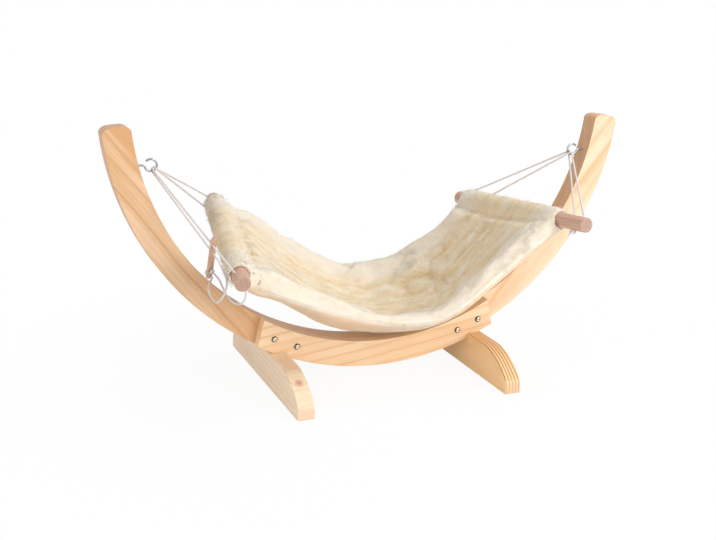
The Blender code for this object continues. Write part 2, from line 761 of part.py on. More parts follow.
def runner_rope_places():
    """Where the two strands of the front left rope pass through the runner."""
    over = rope_over_hook(left_dowel, "front")
    start = rope_rising(left_dowel, "front", over)[-1]
    through = runner_axes()[2]
    share = (RUNNER_ROPE_PLACE - start).dot(through) / (over[0] - start).dot(through)
    return start.lerp(over[0], share), RUNNER_ROPE_PLACE


def make_runner(pivot):
    """Flat wooden cord runner with rounded ends: two holes for the strands, two for the knotted ends."""
    along, across, through = runner_axes()
    half = RUNNER_LENGTH / 2 - RUNNER_WIDTH / 2
    turns = [radians(-90 + 22.5 * k) for k in range(9)]
    round_end = [(cos(turn) * RUNNER_WIDTH / 2, sin(turn) * RUNNER_WIDTH / 2) for turn in turns]
    outline = [(half + a, b) for a, b in round_end] + [(-half - a, -b) for a, b in round_end]
    runner = flat_solid("cord_runner", outline, RUNNER_THICKNESS, parts)
    turn = Matrix((along, across, through)).transposed()
    runner.rotation_euler = turn.to_euler()
    runner.location = on_runner(RUNNER_LENGTH / 2)
    round_edges(runner, 0.0007, segments=1)
    places = (*runner_rope_places(), *(on_runner(inset) for inset in RUNNER_KNOT_INSETS))
    for number, place in enumerate(places, start=1):
        hole = rod(
            f"cord_runner_hole_{number}", place - through * 0.006, place + through * 0.006,
            RUNNER_HOLE_DIAMETER / 2, 12, cutters,
        )
        cut(runner, hole)
    give_material(runner, BEECH)
    hang_on(runner, pivot)
    for number, (inset, direction) in enumerate(zip(RUNNER_KNOT_INSETS, (through, -through)), start=1):
        knot = make_runner_knot(f"cord_runner_knot_{number}", on_runner(inset), direction)
        hang_on(knot, pivot)


def make_runner_knot(name, place, direction):
    """Stopper knot on one face of the runner, with its rope end through the hole."""
    radius = KNOT_DIAMETER / 2
    face = RUNNER_THICKNESS / 2
    profile = [
        (0.0, face + 1.8 * radius), (radius * 0.6, face + 1.7 * radius), (radius, face + 1.1 * radius),
        (radius, face + 0.7 * radius), (radius * 0.7, face + GAP), (ROPE_RADIUS, face + GAP),
        (ROPE_RADIUS, -face - 0.002), (0.0, -face - 0.002),
    ]
    knot = turned(name, profile, 10, parts)
    knot.location = place
    knot.rotation_euler = direction.to_track_quat("Z", "Y").to_euler()
    give_material(knot, COTTON)
    return knot


def make_tails(pivot):
    """Slack rope tails: one from the end above the runner, one from under the dowel."""
    through = runner_axes()[2]
    strand = (RUNNER_ROPE_PLACE - rope_over_hook(left_dowel, "front")[-1]).normalized()
    face = RUNNER_THICKNESS / 2
    upper_start = RUNNER_ROPE_PLACE + strand * 0.006
    upper_end = on_runner(RUNNER_KNOT_INSETS[1]) + through * (face + 0.0035)
    lower_start = left_dowel.hole("front") - left_dowel.hole_axis * (DOWEL_RADIUS + 0.002)
    lower_end = on_runner(RUNNER_KNOT_INSETS[0]) + through * (face + 0.9 * KNOT_DIAMETER + 0.001)
    for name, start, middle, end in (
        ("upper_rope_tail", upper_start, UPPER_TAIL, upper_end),
        ("lower_rope_tail", lower_start, LOWER_TAIL, lower_end),
    ):
        first = start + (strand if name == "upper_rope_tail" else -left_dowel.hole_axis) * 0.004
        last = end + through * 0.002
        points = [start, first, *(Vector(point) for point in middle), last, end]
        tail = tube(name, smooth_route(points, 0.004), ROPE_DIAMETER)
        give_material(tail, COTTON)
        hang_on(tail, pivot)


def across_pad(values, v):
    """Value at v across the pad, on the parabola through its front, middle and back values."""
    front, middle, back = values
    return front * (1 - v) * (1 - 2 * v) + 4 * middle * v * (1 - v) + back * v * (2 * v - 1)


def pad_point(u, v):
    """Middle surface of the sling: u runs from the left dowel to the right, v from front to back."""
    if u < 0.5:
        dowel, slopes, t = left_dowel, PAD_LEFT_SLOPE, u * 2
    else:
        dowel, slopes, t = right_dowel, PAD_RIGHT_SLOPE, 2 - u * 2
    if v < 0.5:
        flare = PAD_FRONT_FLARE * (2 * v - 1) * 9.5 * t * (1 - t) ** 3
    else:
        flare = PAD_BACK_FLARE * (2 * v - 1) * 28.9 * t**2 * (1 - t) ** 3
    end = dowel.at(SLEEVE_START + PAD_MARGIN + v * (SLEEVE_END - SLEEVE_START - 2 * PAD_MARGIN) + flare)
    low = Vector((across_pad(PAD_LOW_X, v), across_pad(PAD_LOW_Y, v), across_pad(PAD_LOW_Z, v)))
    run = low.x - end.x
    eased = t * t * (3 - 2 * t)
    z = end.z + (low.z - end.z) * eased + across_pad(slopes, v) * run * (t**3 - 2 * t**2 + t)
    return Vector((end.x + run * t, end.y + (low.y - end.y) * sin(t * pi / 2), z))


def pad_normal(u, v):
    step = 0.001
    along = pad_point(min(u + step, 1.0), v) - pad_point(max(u - step, 0.0), v)
    across = pad_point(u, min(v + step, 1.0)) - pad_point(u, max(v - step, 0.0))
    return along.cross(across).normalized()


def crowded(share):
    """Moves rows of the pad towards its edges, so that the edges stay full when they're rounded."""
    return abs(share) ** PAD_ROW_CROWDING * (1 if share > 0 else -1)


def make_sling(pivot):
    """Padded sling: a subdivided pad joined to its two sleeves, and bored for the dowels."""
    builder = bmesh.new()
    bmesh.ops.create_grid(builder, x_segments=PAD_CELLS_ALONG, y_segments=PAD_CELLS_ACROSS, size=0.5)
    raised = bmesh.ops.extrude_face_region(builder, geom=list(builder.faces))
    upper = {item for item in raised["geom"] if isinstance(item, bmesh.types.BMVert)}
    for vert in list(builder.verts):
        u, v = vert.co.x + 0.5, 0.5 + crowded(vert.co.y * 2) / 2
        inward = min(1.0, 5 * min(u, 1 - u))
        thickness = PAD_END_THICKNESS + (PAD_THICKNESS - PAD_END_THICKNESS) * inward
        offset = thickness / 2 if vert in upper else -thickness / 2
        vert.co = pad_point(u, v) + pad_normal(u, v) * offset - pivot.location
    sling = mesh_object("sling", builder, parts)
    sling.location = pivot.location
    soften = sling.modifiers.new("soften", "SUBSURF")
    soften.levels = 1
    soften.render_levels = 1
    for word, dowel in (("left", left_dowel), ("right", right_dowel)):
        sleeve = rod(
            word + "_sleeve", dowel.at(SLEEVE_START), dowel.at(SLEEVE_END),
            DOWEL_RADIUS + SLEEVE_WALL, 20, cutters,
        )
        round_edges(sleeve, SLEEVE_EDGE, segments=2)
        join(sling, sleeve)
    for word, dowel in (("left", left_dowel), ("right", right_dowel)):
        bore = rod(
            word + "_sleeve_bore", dowel.at(-0.02), dowel.at(DOWEL_LENGTH + 0.02),
            DOWEL_RADIUS + GAP, 28, cutters,
        )
        cut(sling, bore)
    give_material(sling, PLUSH)
    hang_on(sling, pivot)


def stand_on_floor(floor_centre):
    """Parents everything that has no parent yet, cutters too, to the empty at the middle of the floor."""
    for piece in [*parts.objects, *cutters.objects]:
        if piece.parent is None and piece is not floor_centre:
            piece.parent = floor_centre


pivot = add_empty("swing_axis", (0.0, 0.0, SWING_AXIS_Z))
make_stand()
make_bolts()
make_foot_screws()
make_hooks()
make_dowels(pivot)
make_ropes(pivot)
make_runner(pivot)
make_tails(pivot)
make_sling(pivot)
stand_on_floor(add_empty("floor_centre", (0.0, CENTRE_SHIFT, 0.0)))
bpy.context.view_layer.update()
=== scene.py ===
"""Looks of a pet lounger: a curved pine stand with a padded plush sling hung on cotton ropes.

Metres, +Z up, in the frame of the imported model. X runs from the left arm to the right arm, -Y is the front.
"""
import random
from math import cos, pi, radians, sin, sqrt

import bmesh
import bpy
from mathutils import Matrix, Vector, noise
from mathutils.bvhtree import BVHTree
from mathutils.kdtree import KDTree
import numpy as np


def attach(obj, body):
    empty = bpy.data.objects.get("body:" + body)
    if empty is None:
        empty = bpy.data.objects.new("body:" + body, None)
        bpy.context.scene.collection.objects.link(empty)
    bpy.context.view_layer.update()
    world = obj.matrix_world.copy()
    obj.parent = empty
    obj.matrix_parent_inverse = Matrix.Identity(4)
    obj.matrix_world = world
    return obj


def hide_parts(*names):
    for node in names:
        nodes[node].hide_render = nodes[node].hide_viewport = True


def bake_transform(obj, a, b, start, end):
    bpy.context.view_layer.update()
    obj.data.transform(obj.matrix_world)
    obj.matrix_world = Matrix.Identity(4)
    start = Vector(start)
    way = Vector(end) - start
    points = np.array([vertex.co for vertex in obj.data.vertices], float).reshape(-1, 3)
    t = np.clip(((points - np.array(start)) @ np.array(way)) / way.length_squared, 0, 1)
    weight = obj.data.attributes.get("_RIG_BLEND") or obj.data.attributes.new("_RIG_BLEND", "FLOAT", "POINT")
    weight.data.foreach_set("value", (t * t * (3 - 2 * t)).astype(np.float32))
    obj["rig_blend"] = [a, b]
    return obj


scene = bpy.context.scene
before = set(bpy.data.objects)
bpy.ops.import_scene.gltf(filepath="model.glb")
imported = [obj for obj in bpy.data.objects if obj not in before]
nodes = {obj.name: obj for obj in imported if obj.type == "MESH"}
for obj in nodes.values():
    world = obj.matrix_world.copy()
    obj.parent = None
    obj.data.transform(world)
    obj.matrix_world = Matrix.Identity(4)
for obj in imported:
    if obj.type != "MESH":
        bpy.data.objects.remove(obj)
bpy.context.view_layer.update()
# Vector noise starts from the clock unless it is given a seed
noise.seed_set(7)

# Stand
ARC_CENTRE = Vector((0.0, 0.0, 0.4825))
ARC_OUTER = 0.462
ARC_INNER = 0.417
ARM_FRONT = -0.0065
ARM_BACK = 0.0295
ARM_END_ANGLE = radians(84.6)
ARM_END_ROUND = 0.015
BOARD_FRONT = -0.0268
BOARD_BACK = -0.0068
BOARD_HALF_LENGTH = 0.213
BOARD_END_LEAN = radians(12.5)
WOOD_EDGE = 0.003
SHARP_CORNER = radians(50)
WELD = 0.00002
BOLT_PLACES = ((-0.1500, 0.0694), (-0.1899, 0.0861), (0.1500, 0.0694), (0.1899, 0.0861))
BOLT_HEAD = 0.0105

# Hooks: centre of the left eye, and where its shank enters the arm
HOOK_EYE = Vector((-0.3824, 0.0115, 0.3788))
HOOK_EYE_RADIUS = 0.0095
HOOK_ENTRY_X = -0.4039
HOOK_WIRE = 0.0035

# Dowels: centre, and direction from front to back; True is the left one
DOWELS = {
    True: (Vector((-0.2619, 0.0075, 0.2555)), Vector((0.1359, 0.9796, 0.1478)).normalized()),
    False: (Vector((0.2633, -0.0164, 0.2779)), Vector((-0.1371, 0.9882, -0.0680)).normalized()),
}
DOWEL_DIAMETER = 0.025
DOWEL_LENGTH = 0.360
DOWEL_EDGE = 0.0016
# Rope holes: directions, up and outwards
LEFT_HOLE_AXIS = Vector((-0.6904, -0.0133, 0.7233))
RIGHT_HOLE_AXIS = Vector((0.6687, 0.1430, 0.7297))
ROPE_HOLE_INSET = 0.022
ROPE_HOLE_RADIUS = 0.0023

ROPE_DIAMETER = 0.003
ROPE_PITCH = 0.013
KNOT_SIZE = 0.00118
# Ropes and knots are shaded round up to this angle
ROUND_EDGES = radians(80)
# Rope routes, in tenths of a millimetre: out of the knot, through the dowel, over the hook and down again
ROPES = {
    "left_front_rope": (
        (-2741, -1471, 2224), (-2850, -1474, 2339), (-2936, -1475, 2429), (-2950, -1471, 2444), (-2960, -1460, 2457),
        (-3100, -1204, 2667), (-3804, 87, 3724), (-3808, 109, 3734), (-3807, 133, 3731), (-3801, 150, 3714),
        (-3794, 154, 3691), (-3788, 143, 3670), (-3500, -340, 3202), (-3132, -969, 2610), (-3112, -1002, 2578),
    ),
    "left_back_rope": (
        (-2311, 1625, 2691), (-2420, 1623, 2805), (-2507, 1621, 2896), (-2521, 1617, 2910), (-2534, 1606, 2920),
        (-2700, 1408, 3033), (-3769, 144, 3747), (-3779, 123, 3754), (-3777, 99, 3752), (-3764, 81, 3742),
        (-3745, 76, 3728), (-3727, 86, 3715), (-2620, 1470, 2773), (-2522, 1592, 2692), (-2490, 1602, 2664),
        (-2452, 1611, 2643), (-2408, 1616, 2632), (-2359, 1620, 2631), (-2322, 1623, 2645),
    ),
    "right_front_rope": (
        (2759, -1745, 2788), (2865, -1722, 2903), (2948, -1704, 2993), (2962, -1697, 3008), (2973, -1681, 3019),
        (3100, -1410, 3127), (3806, 95, 3730), (3808, 119, 3735), (3805, 142, 3725), (3799, 154, 3705),
        (3791, 151, 3682), (3786, 135, 3664), (3000, -1415, 2854), (2925, -1561, 2771), (2901, -1601, 2751),
        (2872, -1641, 2737), (2840, -1682, 2729), (2804, -1722, 2729), (2768, -1736, 2742),
    ),
    "right_back_rope": (
        (2326, 1378, 2573), (2430, 1400, 2686), (2515, 1418, 2779), (2530, 1417, 2794), (2544, 1407, 2806),
        (2720, 1226, 2941), (3767, 147, 3745), (3778, 127, 3754), (3778, 102, 3753), (3766, 83, 3744),
        (3748, 76, 3730), (3729, 83, 3716), (2640, 1227, 2664), (2527, 1345, 2576), (2496, 1350, 2551),
        (2461, 1353, 2532), (2420, 1357, 2520), (2376, 1361, 2517), (2338, 1366, 2529),
    ),
}
# The slack tails, each from the end of the loaded rope to its knot on the runner
TAILS = {
    "upper_rope_tail": (
        (-3108, -1009, 2572), (-3093, -1036, 2547), (-3077, -1105, 2511), (-3024, -1195, 2367), (-2992, -1265, 2235),
        (-3013, -1285, 2101), (-3067, -1255, 1961), (-3137, -1155, 1878), (-3189, -1035, 1963), (-3192, -935, 2062),
        (-3088, -772, 2157), (-3096, -756, 2167),
    ),
    "lower_rope_tail": (
        (-2734, -1471, 2217), (-2706, -1470, 2188), (-2771, -1535, 2106), (-2786, -1525, 1995), (-2848, -1455, 1911),
        (-2925, -1315, 1920), (-2966, -1145, 1985), (-2995, -1005, 2082), (-3017, -905, 2160), (-3075, -872, 2237),
        (-3083, -857, 2246),
    ),
}
# Y up to which each tail follows the sling, and Y from which it follows the runner
TAIL_BENDS = {"upper_rope_tail": (-0.0985, -0.0785), "lower_rope_tail": (-0.112, -0.088)}

# Sling
SLEEVE_WALL = 0.007
SLEEVE_START = 0.062
SLEEVE_END = 0.316
LEFT_SLEEVE = (0.030, 0.343)
RIGHT_SLEEVE = (0.060, 0.342)
SLING_LENGTH = 0.70
SLING_WIDTH = 0.30
PAD_MARGIN = 0.002
PAD_THICKNESS = 0.034
PAD_END_THICKNESS = 0.040
PAD_GROWTH = 0.005
# Share of the sling's width over which its rim is rounded
RIM_SHARE = 0.07
PAD_FRONT_FLARE = 0.018
PAD_BACK_FLARE = 0.014
FRONT_LEFT_FLAP = 0.026
BACK_RIGHT_FLAP = 0.027
PAD_LOW_X = (0.035, 0.032, 0.010)
PAD_LOW_Y = (-0.1295, 0.0075, 0.1695)
PAD_LOW_Z = (0.136, 0.091, 0.152)
PAD_LEFT_SLOPE = (-0.50, -1.05, -0.30)
PAD_RIGHT_SLOPE = (0.32, 1.80, 1.27)
FILL_CAP = 0.006
UNDERSIDE_FILL_CAP = 0.002
FILL_FRAMES = 20
# How far the underside is lifted behind the front rim: (place along the sling, metres)
UNDERSIDE_LIFT = (
    (0.0, -0.006), (0.05, -0.007), (0.10, 0.0), (0.16, 0.003), (0.25, -0.003), (0.33, 0.0), (0.42, 0.007),
    (0.50, 0.009), (0.57, 0.007), (0.65, 0.002), (1.0, 0.0),
)
# Depths and heights of what is pressed into the filled sling or stands on it
CREASE, FINE_CREASE, LUMP, PUCKER, WRINKLE = 0.0034, 0.0008, 0.0022, 0.0009, 0.0026
EDGE_SEAM, SLEEVE_SEAM = 0.0024, 0.0020
EDGE_SEAM_HEIGHT = -0.011
PILE = 0.0011
PILE_LEAN = 0.0010
TUFT_COUNT = 1500
STITCH_RADIUS = 0.00045

LAMP_TARGET = Vector((0.0, 0.0, 0.2))

# Knots: centre, and the direction that the rope leaves in
KNOTS = {
    "left_back_knot": ((-0.2281, 0.1625, 0.2660), LEFT_HOLE_AXIS),
    "right_front_knot": ((0.2731, -0.1751, 0.2757), RIGHT_HOLE_AXIS),
    "right_back_knot": ((0.2297, 0.1372, 0.2542), RIGHT_HOLE_AXIS),
}
RUNNER_THROUGH = Vector((0.3923, -0.7898, -0.4714))
RUNNER_KNOTS = {
    "cord_runner_knot_1": ((-0.3123, -0.0776, 0.2294), RUNNER_THROUGH),
    "cord_runner_knot_2": ((-0.3118, -0.0713, 0.2193), -RUNNER_THROUGH),
}


def place_camera():
    """Camera at the photograph's place, turned right, tipped down and rolled a little."""
    turn, tip, roll = 0.3938, 0.2718, 0.0328
    forward = Vector((sin(turn) * cos(tip), cos(turn) * cos(tip), -sin(tip)))
    right = Vector((cos(turn), -sin(turn), 0.0))
    up = right.cross(forward)
    rolled_right = right * cos(roll) + up * sin(roll)
    rolled_up = up * cos(roll) - right * sin(roll)
    data = bpy.data.cameras.new("camera")
    data.sensor_width = 36.0
    data.lens = 55.64
    camera = link_object("camera", data)
    camera.matrix_world = Matrix.Translation((-0.7312, -1.6799, 0.6933)) @ Matrix(
        (rolled_right, rolled_up, -forward)
    ).transposed().to_4x4()
    scene.camera = camera


def srgb(hex_colour):
    """Linear RGBA of an sRGB colour written as hex."""
    channels = [int(hex_colour[i:i + 2], 16) / 255 for i in (0, 2, 4)]
    return (*(c / 12.92 if c <= 0.04045 else ((c + 0.055) / 1.055) ** 2.4 for c in channels), 1.0)


def fill_sockets(tree, node, sockets):
    """Fills or links a node's input sockets."""
    for key, value in sockets.items():
        if isinstance(value, bpy.types.NodeSocket):
            tree.links.new(value, node.inputs[key])
        else:
            node.inputs[key].default_value = value


def add_node(tree, kind, sockets=None, **settings):
    """Adds a node, sets its settings, and fills or links its input sockets."""
    node = tree.nodes.new(kind)
    for name, value in settings.items():
        setattr(node, name, value)
    fill_sockets(tree, node, sockets or {})
    return node


def maths(tree, operation, *values):
    """Result of an operation on one to three numbers."""
    return add_node(tree, "ShaderNodeMath", dict(enumerate(values)), operation=operation).outputs[0]


def vectors(tree, operation, first, second=None):
    """Result of an operation on vectors, or on a vector and the number that scales it."""
    sockets = {0: first}
    if second is not None:
        sockets["Scale" if operation == "SCALE" else 1] = second
    node = add_node(tree, "ShaderNodeVectorMath", sockets, operation=operation)
    return node.outputs["Value" if operation in ("LENGTH", "DOT_PRODUCT") else "Vector"]


def map_range(tree, value, start, end, low, high, interpolation="LINEAR"):
    """Number that goes from low to high while the value goes from start to end."""
    sockets = {"Value": value, "From Min": start, "From Max": end, "To Min": low, "To Max": high}
    return add_node(tree, "ShaderNodeMapRange", sockets, interpolation_type=interpolation).outputs[0]


def mix_numbers(tree, share, first, second):
    return add_node(tree, "ShaderNodeMix", {0: share, 2: first, 3: second}, data_type="FLOAT").outputs[0]


def mix_colours(tree, share, first, second):
    return add_node(tree, "ShaderNodeMix", {0: share, 6: first, 7: second}, data_type="RGBA").outputs[2]


def add_noise(tree, place, scale, detail, seed=None):
    """Outputs of a noise, which differs from seed to seed if one is given."""
    sockets = {"Vector": place, "Scale": scale, "Detail": detail}
    if seed is None:
        return add_node(tree, "ShaderNodeTexNoise", sockets).outputs
    return add_node(tree, "ShaderNodeTexNoise", {**sockets, "W": seed}, noise_dimensions="4D").outputs


def add_ramp(tree, value, stops):
    """Colour of a value on a ramp with (place, hex colour) stops."""
    ramp = add_node(tree, "ShaderNodeValToRGB", {"Fac": value})
    elements = ramp.color_ramp.elements
    while len(elements) < len(stops):
        elements.new(0.5)
    for element, (place, hex_colour) in zip(elements, stops):
        element.position = place
        element.color = srgb(hex_colour)
    return ramp.outputs["Color"]


def add_bump(tree, height, strength, distance):
    sockets = {"Height": height, "Strength": strength, "Distance": distance}
    return add_node(tree, "ShaderNodeBump", sockets).outputs[0]


def object_place(tree):
    """The object's own coordinates."""
    return add_node(tree, "ShaderNodeTexCoord").outputs["Object"]


def seen_directly(tree):
    """1 for what the camera sees directly or in a mirror, 0 for light on its way round."""
    rays = add_node(tree, "ShaderNodeLightPath").outputs
    return maths(tree, "MAXIMUM", rays["Is Camera Ray"], rays["Is Glossy Ray"])


def new_material(name):
    """Material with its node tree and its surface shader."""
    material = bpy.data.materials.new(name)
    material.use_nodes = True
    return material, material.node_tree, material.node_tree.nodes["Principled BSDF"]


def wood_coords(tree, along, place):
    """Outputs with the object's coordinates, and coordinates from a place in the wood with Z along its grain."""
    coords = add_node(tree, "ShaderNodeTexCoord").outputs
    turn = Vector(along).to_track_quat("Z", "Y").to_euler()
    grain = add_node(
        tree, "ShaderNodeMapping", {"Vector": coords["Object"], "Location": place, "Rotation": turn},
        vector_type="TEXTURE",
    )
    return coords, grain.outputs[0]


def toward_ends(tree, coords, along, start, low, high):
    """Number that is low on the sides of the wood and high on its sawn ends."""
    facing = vectors(tree, "DOT_PRODUCT", coords["Normal"], Vector(along).normalized())
    return map_range(tree, maths(tree, "ABSOLUTE", facing), start, 1.0, low, high)


def pine(
    name, along, pith, palette, ring=0.012, warp=0.010, seed=0.0, sharp=False, sawn=False, amber_from=None, knot=None
):
    """Planed pine under clear satin varnish: growth rings round a pith line, seen wherever the saw cut them, with
    painted shade on the curved edges if asked.
    """
    pale, middle, late, amber = palette
    material, tree, shader = new_material(name)
    coords, grain = wood_coords(tree, along, pith)
    stretched = vectors(tree, "MULTIPLY", grain, (1.0, 1.0, 0.22))
    # Slow wander of the rings along the board
    wander = add_noise(tree, stretched, 14.0, 2.0, seed)["Color"]
    centred = vectors(tree, "SUBTRACT", wander, (0.5, 0.5, 0.5))
    bent = vectors(tree, "ADD", grain, vectors(tree, "SCALE", centred, warp * 2))
    distance = vectors(tree, "LENGTH", vectors(tree, "MULTIPLY", bent, (1.0, 1.0, 0.0)))
    if knot:
        # A knot pushes the rings aside round its own centre
        reach = vectors(tree, "LENGTH", vectors(tree, "SUBTRACT", coords["Object"], knot))
        distance = maths(tree, "ADD", distance, map_range(tree, reach, 0.0, 0.016, 0.012, 0.0, "SMOOTHSTEP"))
    rings = maths(tree, "DIVIDE", distance, ring)
    if sharp:
        stops = [(0.0, middle), (0.08, pale), (0.66, pale), (0.79, middle), (0.86, late), (0.96, late)]
    else:
        stops = [(0.0, middle), (0.18, pale), (0.50, pale), (0.75, middle), (0.90, late), (1.0, middle)]
    tones = add_ramp(tree, maths(tree, "FRACT", rings), stops)
    # Some years grew darker than others
    growth = add_node(tree, "ShaderNodeTexWhiteNoise", {"W": maths(tree, "FLOOR", rings)}, noise_dimensions="1D")
    contrast = map_range(tree, growth.outputs["Value"], 0.0, 1.0, 0.8 if sharp else 0.2, 1.0)
    colour = mix_colours(tree, contrast, srgb(middle), tones)
    # Narrow rings inside the broad bands
    narrow_year = maths(tree, "FRACT", maths(tree, "MULTIPLY", rings, 3.7))
    narrow_tone = map_range(tree, narrow_year, 0.55, 0.95, 1.01, 0.985 if sharp else 0.94, "SMOOTHSTEP")
    # Fine fibres, drawn 0.6 mm wide so that they show
    fibres = add_noise(tree, vectors(tree, "MULTIPLY", grain, (1.0, 1.0, 0.03)), 900.0, 3.0)[0]
    shade = maths(tree, "MULTIPLY", map_range(tree, fibres, 0.3, 0.7, 0.92, 1.04), narrow_tone)
    # Resin makes some stretches of the board more amber
    resin = add_noise(tree, stretched, 26.0, 2.0, seed + 3.0)[0]
    resin_share = map_range(tree, resin, 0.45, 0.75, 0.0, 0.2 if sharp else 0.75)
    if amber_from:
        # Heartwood: everything past this distance from the pith line is amber
        heartwood = map_range(tree, distance, amber_from, amber_from + 0.004, 0.0, 0.8)
        resin_share = maths(tree, "MAXIMUM", resin_share, heartwood)
    colour = mix_colours(tree, resin_share, colour, srgb(amber))
    # End grain drinks more varnish, so it is pinker and duller
    colour = mix_colours(tree, toward_ends(tree, coords, along, 0.75, 0.0, 0.6), colour, srgb("EBC2A2"))
    if sawn:
        # Painted shade: the band-sawn curved edges are painted darker than the planed front and back, standing in
        # for the shade they lie in, and painted lighter low in the middle
        front_or_back = add_node(tree, "ShaderNodeSeparateXYZ", {0: coords["Normal"]}).outputs["Y"]
        edge_shade_share = map_range(tree, maths(tree, "ABSOLUTE", front_or_back), 0.2, 0.6, 0.7, 0.0)
        height = add_node(tree, "ShaderNodeSeparateXYZ", {0: coords["Object"]}).outputs["Z"]
        edge_shade_tone = mix_colours(tree, map_range(tree, height, 0.09, 0.17, 1.0, 0.0), srgb("CC976A"), srgb("FFDCAA"))
        colour = mix_colours(tree, edge_shade_share, colour, edge_shade_tone)
    colour = vectors(tree, "SCALE", colour, shade)
    if knot:
        heart = map_range(tree, reach, 0.001, 0.0115, 0.9, 0.0, "SMOOTHSTEP")
        colour = mix_colours(tree, heart, colour, srgb("CC8460"))
    fill_sockets(tree, shader, {
        "Base Color": colour, "Roughness": 0.46, "Specular IOR Level": 0.35,
        "Normal": add_bump(tree, maths(tree, "ADD", narrow_year, fibres), 0.12, 0.0004),
        "Coat Weight": 0.12, "Coat Roughness": 0.30,
    })
    return material


def raw_beech(name, along, place):
    """Sanded beech with no finish: pinkish brown, with the short dark flecks of its rays."""
    material, tree, shader = new_material(name)
    coords, grain = wood_coords(tree, along, place)
    fibres = add_noise(tree, vectors(tree, "MULTIPLY", grain, (1.0, 1.0, 0.05)), 420.0, 4.0)[0]
    tones = add_ramp(tree, fibres, [(0.25, "B48C78"), (0.45, "CBA48E"), (0.62, "D6B29C"), (0.80, "DEBEA8")])
    short = vectors(tree, "MULTIPLY", grain, (1.0, 1.0, 0.25))
    flecks = add_node(tree, "ShaderNodeTexVoronoi", {"Vector": short, "Scale": 600.0}, feature="F1")
    fleck_tone = map_range(tree, flecks.outputs["Distance"], 0.05, 0.25, 0.82, 1.0)
    # Sawn ends are rougher and darker than the turned side
    tone = maths(tree, "MULTIPLY", fleck_tone, toward_ends(tree, coords, along, 0.8, 1.0, 0.76))
    fill_sockets(tree, shader, {
        "Base Color": vectors(tree, "SCALE", tones, tone), "Roughness": 0.68,
        "Normal": add_bump(tree, fibres, 0.25, 0.0003),
    })
    return material


def plush_pile():
    """Cream polyester plush, brushed lengthwise, with a plain woven lining underneath, painted a darker cream as
    painted shade.
    """
    material, tree, shader = new_material("cream_plush")
    place = object_place(tree)
    cloth = add_node(tree, "ShaderNodeAttribute", attribute_name="cloth").outputs["Vector"]
    lie = add_node(
        tree, "ShaderNodeMapping",
        {"Vector": cloth, "Rotation": (0.0, 0.0, radians(16)), "Scale": (17.0, 52.0, 0.0)},
    )
    brushed = add_noise(tree, lie.outputs[0], 1.0, 4.0)[0]
    clumps = add_noise(tree, place, 170.0, 3.0)[0]
    pile = add_noise(tree, place, 650.0, 2.0)[0]
    streaks = maths(tree, "MULTIPLY_ADD", brushed, 0.62, 0.19)
    tufts = maths(tree, "MULTIPLY_ADD", clumps, 0.26, -0.13)
    # Round the sleeves the pile is pulled smooth, so its streaks are a little fainter
    sleeve = add_node(tree, "ShaderNodeAttribute", attribute_name="sleeve").outputs["Fac"]
    calm = maths(tree, "MULTIPLY", sleeve, 0.4)
    mottled = mix_numbers(tree, calm, maths(tree, "ADD", streaks, tufts), 0.535)
    tones = add_ramp(tree, mottled, [(0.33, "E8C496"), (0.44, "F1D6AC"), (0.54, "F8E5C8"), (0.66, "FDF1DD")])
    # Painted highlight: the pile round the edge is painted paler, standing in for the light that falls on the rim
    parts = add_node(tree, "ShaderNodeSeparateXYZ", {0: cloth}).outputs
    from_middle = maths(tree, "ABSOLUTE", maths(tree, "SUBTRACT", parts["Y"], SLING_WIDTH / 2))
    painted_rim_light = map_range(tree, from_middle, 0.078, 0.122, 0.0, 0.85, "SMOOTHSTEP")
    upper = mix_colours(tree, painted_rim_light, tones, srgb("FAEEDC"))
    relief = mix_numbers(tree, parts["Z"], pile, maths(tree, "ADD", pile, clumps))
    # Light that enters the pile comes out again close by, so its shaded side stays warm. The lining's darker cream
    # is painted shade on the underside.
    fill_sockets(tree, shader, {
        "Base Color": mix_colours(tree, parts["Z"], srgb("E2C4A4"), upper),
        "Normal": add_bump(tree, relief, 0.45, 0.0015), "Roughness": 0.95, "Specular IOR Level": 0.15,
        "Subsurface Weight": 0.35, "Subsurface Radius": (0.012, 0.008, 0.005), "Subsurface Scale": 1.0,
        "Sheen Weight": 0.2, "Sheen Roughness": 0.6, "Sheen Tint": srgb("FFF4DC"),
    })
    return material


def cotton(name, colours):
    """Twisted cotton cord or thread: matte, with fine fibres across its strands."""
    material, tree, shader = new_material(name)
    fibres = add_noise(tree, object_place(tree), 2200.0, 2.0)[0]
    fill_sockets(tree, shader, {
        "Base Color": add_ramp(tree, fibres, list(zip((0.3, 0.6, 0.8), colours))),
        "Normal": add_bump(tree, fibres, 0.4, 0.0003), "Roughness": 0.9, "Sheen Weight": 0.2,
    })
    return material


def zinc_steel(name, colour):
    """Zinc-plated steel: bright, with a faint cloud in the plating; cool grey, or a pale and a dark copy by its
    colour for the bolt heads' painted highlight and painted shade.
    """
    material, tree, shader = new_material(name)
    cloud = add_noise(tree, object_place(tree), 350.0, 3.0)[0]
    fill_sockets(tree, shader, {
        "Base Color": srgb(colour), "Metallic": 1.0, "Roughness": map_range(tree, cloud, 0.3, 0.7, 0.20, 0.34),
    })
    return material


def smooth_faces(bm):
    for face in bm.faces:
        face.smooth = True


def link_object(name, data):
    """New object in the scene."""
    item = bpy.data.objects.new(name, data)
    scene.collection.objects.link(item)
    return item


def as_object(name, bm, material=None):
    """New object from a bmesh."""
    mesh = bpy.data.meshes.new(name)
    bm.to_mesh(mesh)
    bm.free()
    if material:
        mesh.materials.append(material)
    return link_object(name, mesh)


def shown_mesh(piece):
    """New mesh of a piece as its modifiers or its curve show it."""
    return bpy.data.meshes.new_from_object(piece.evaluated_get(bpy.context.evaluated_depsgraph_get()))


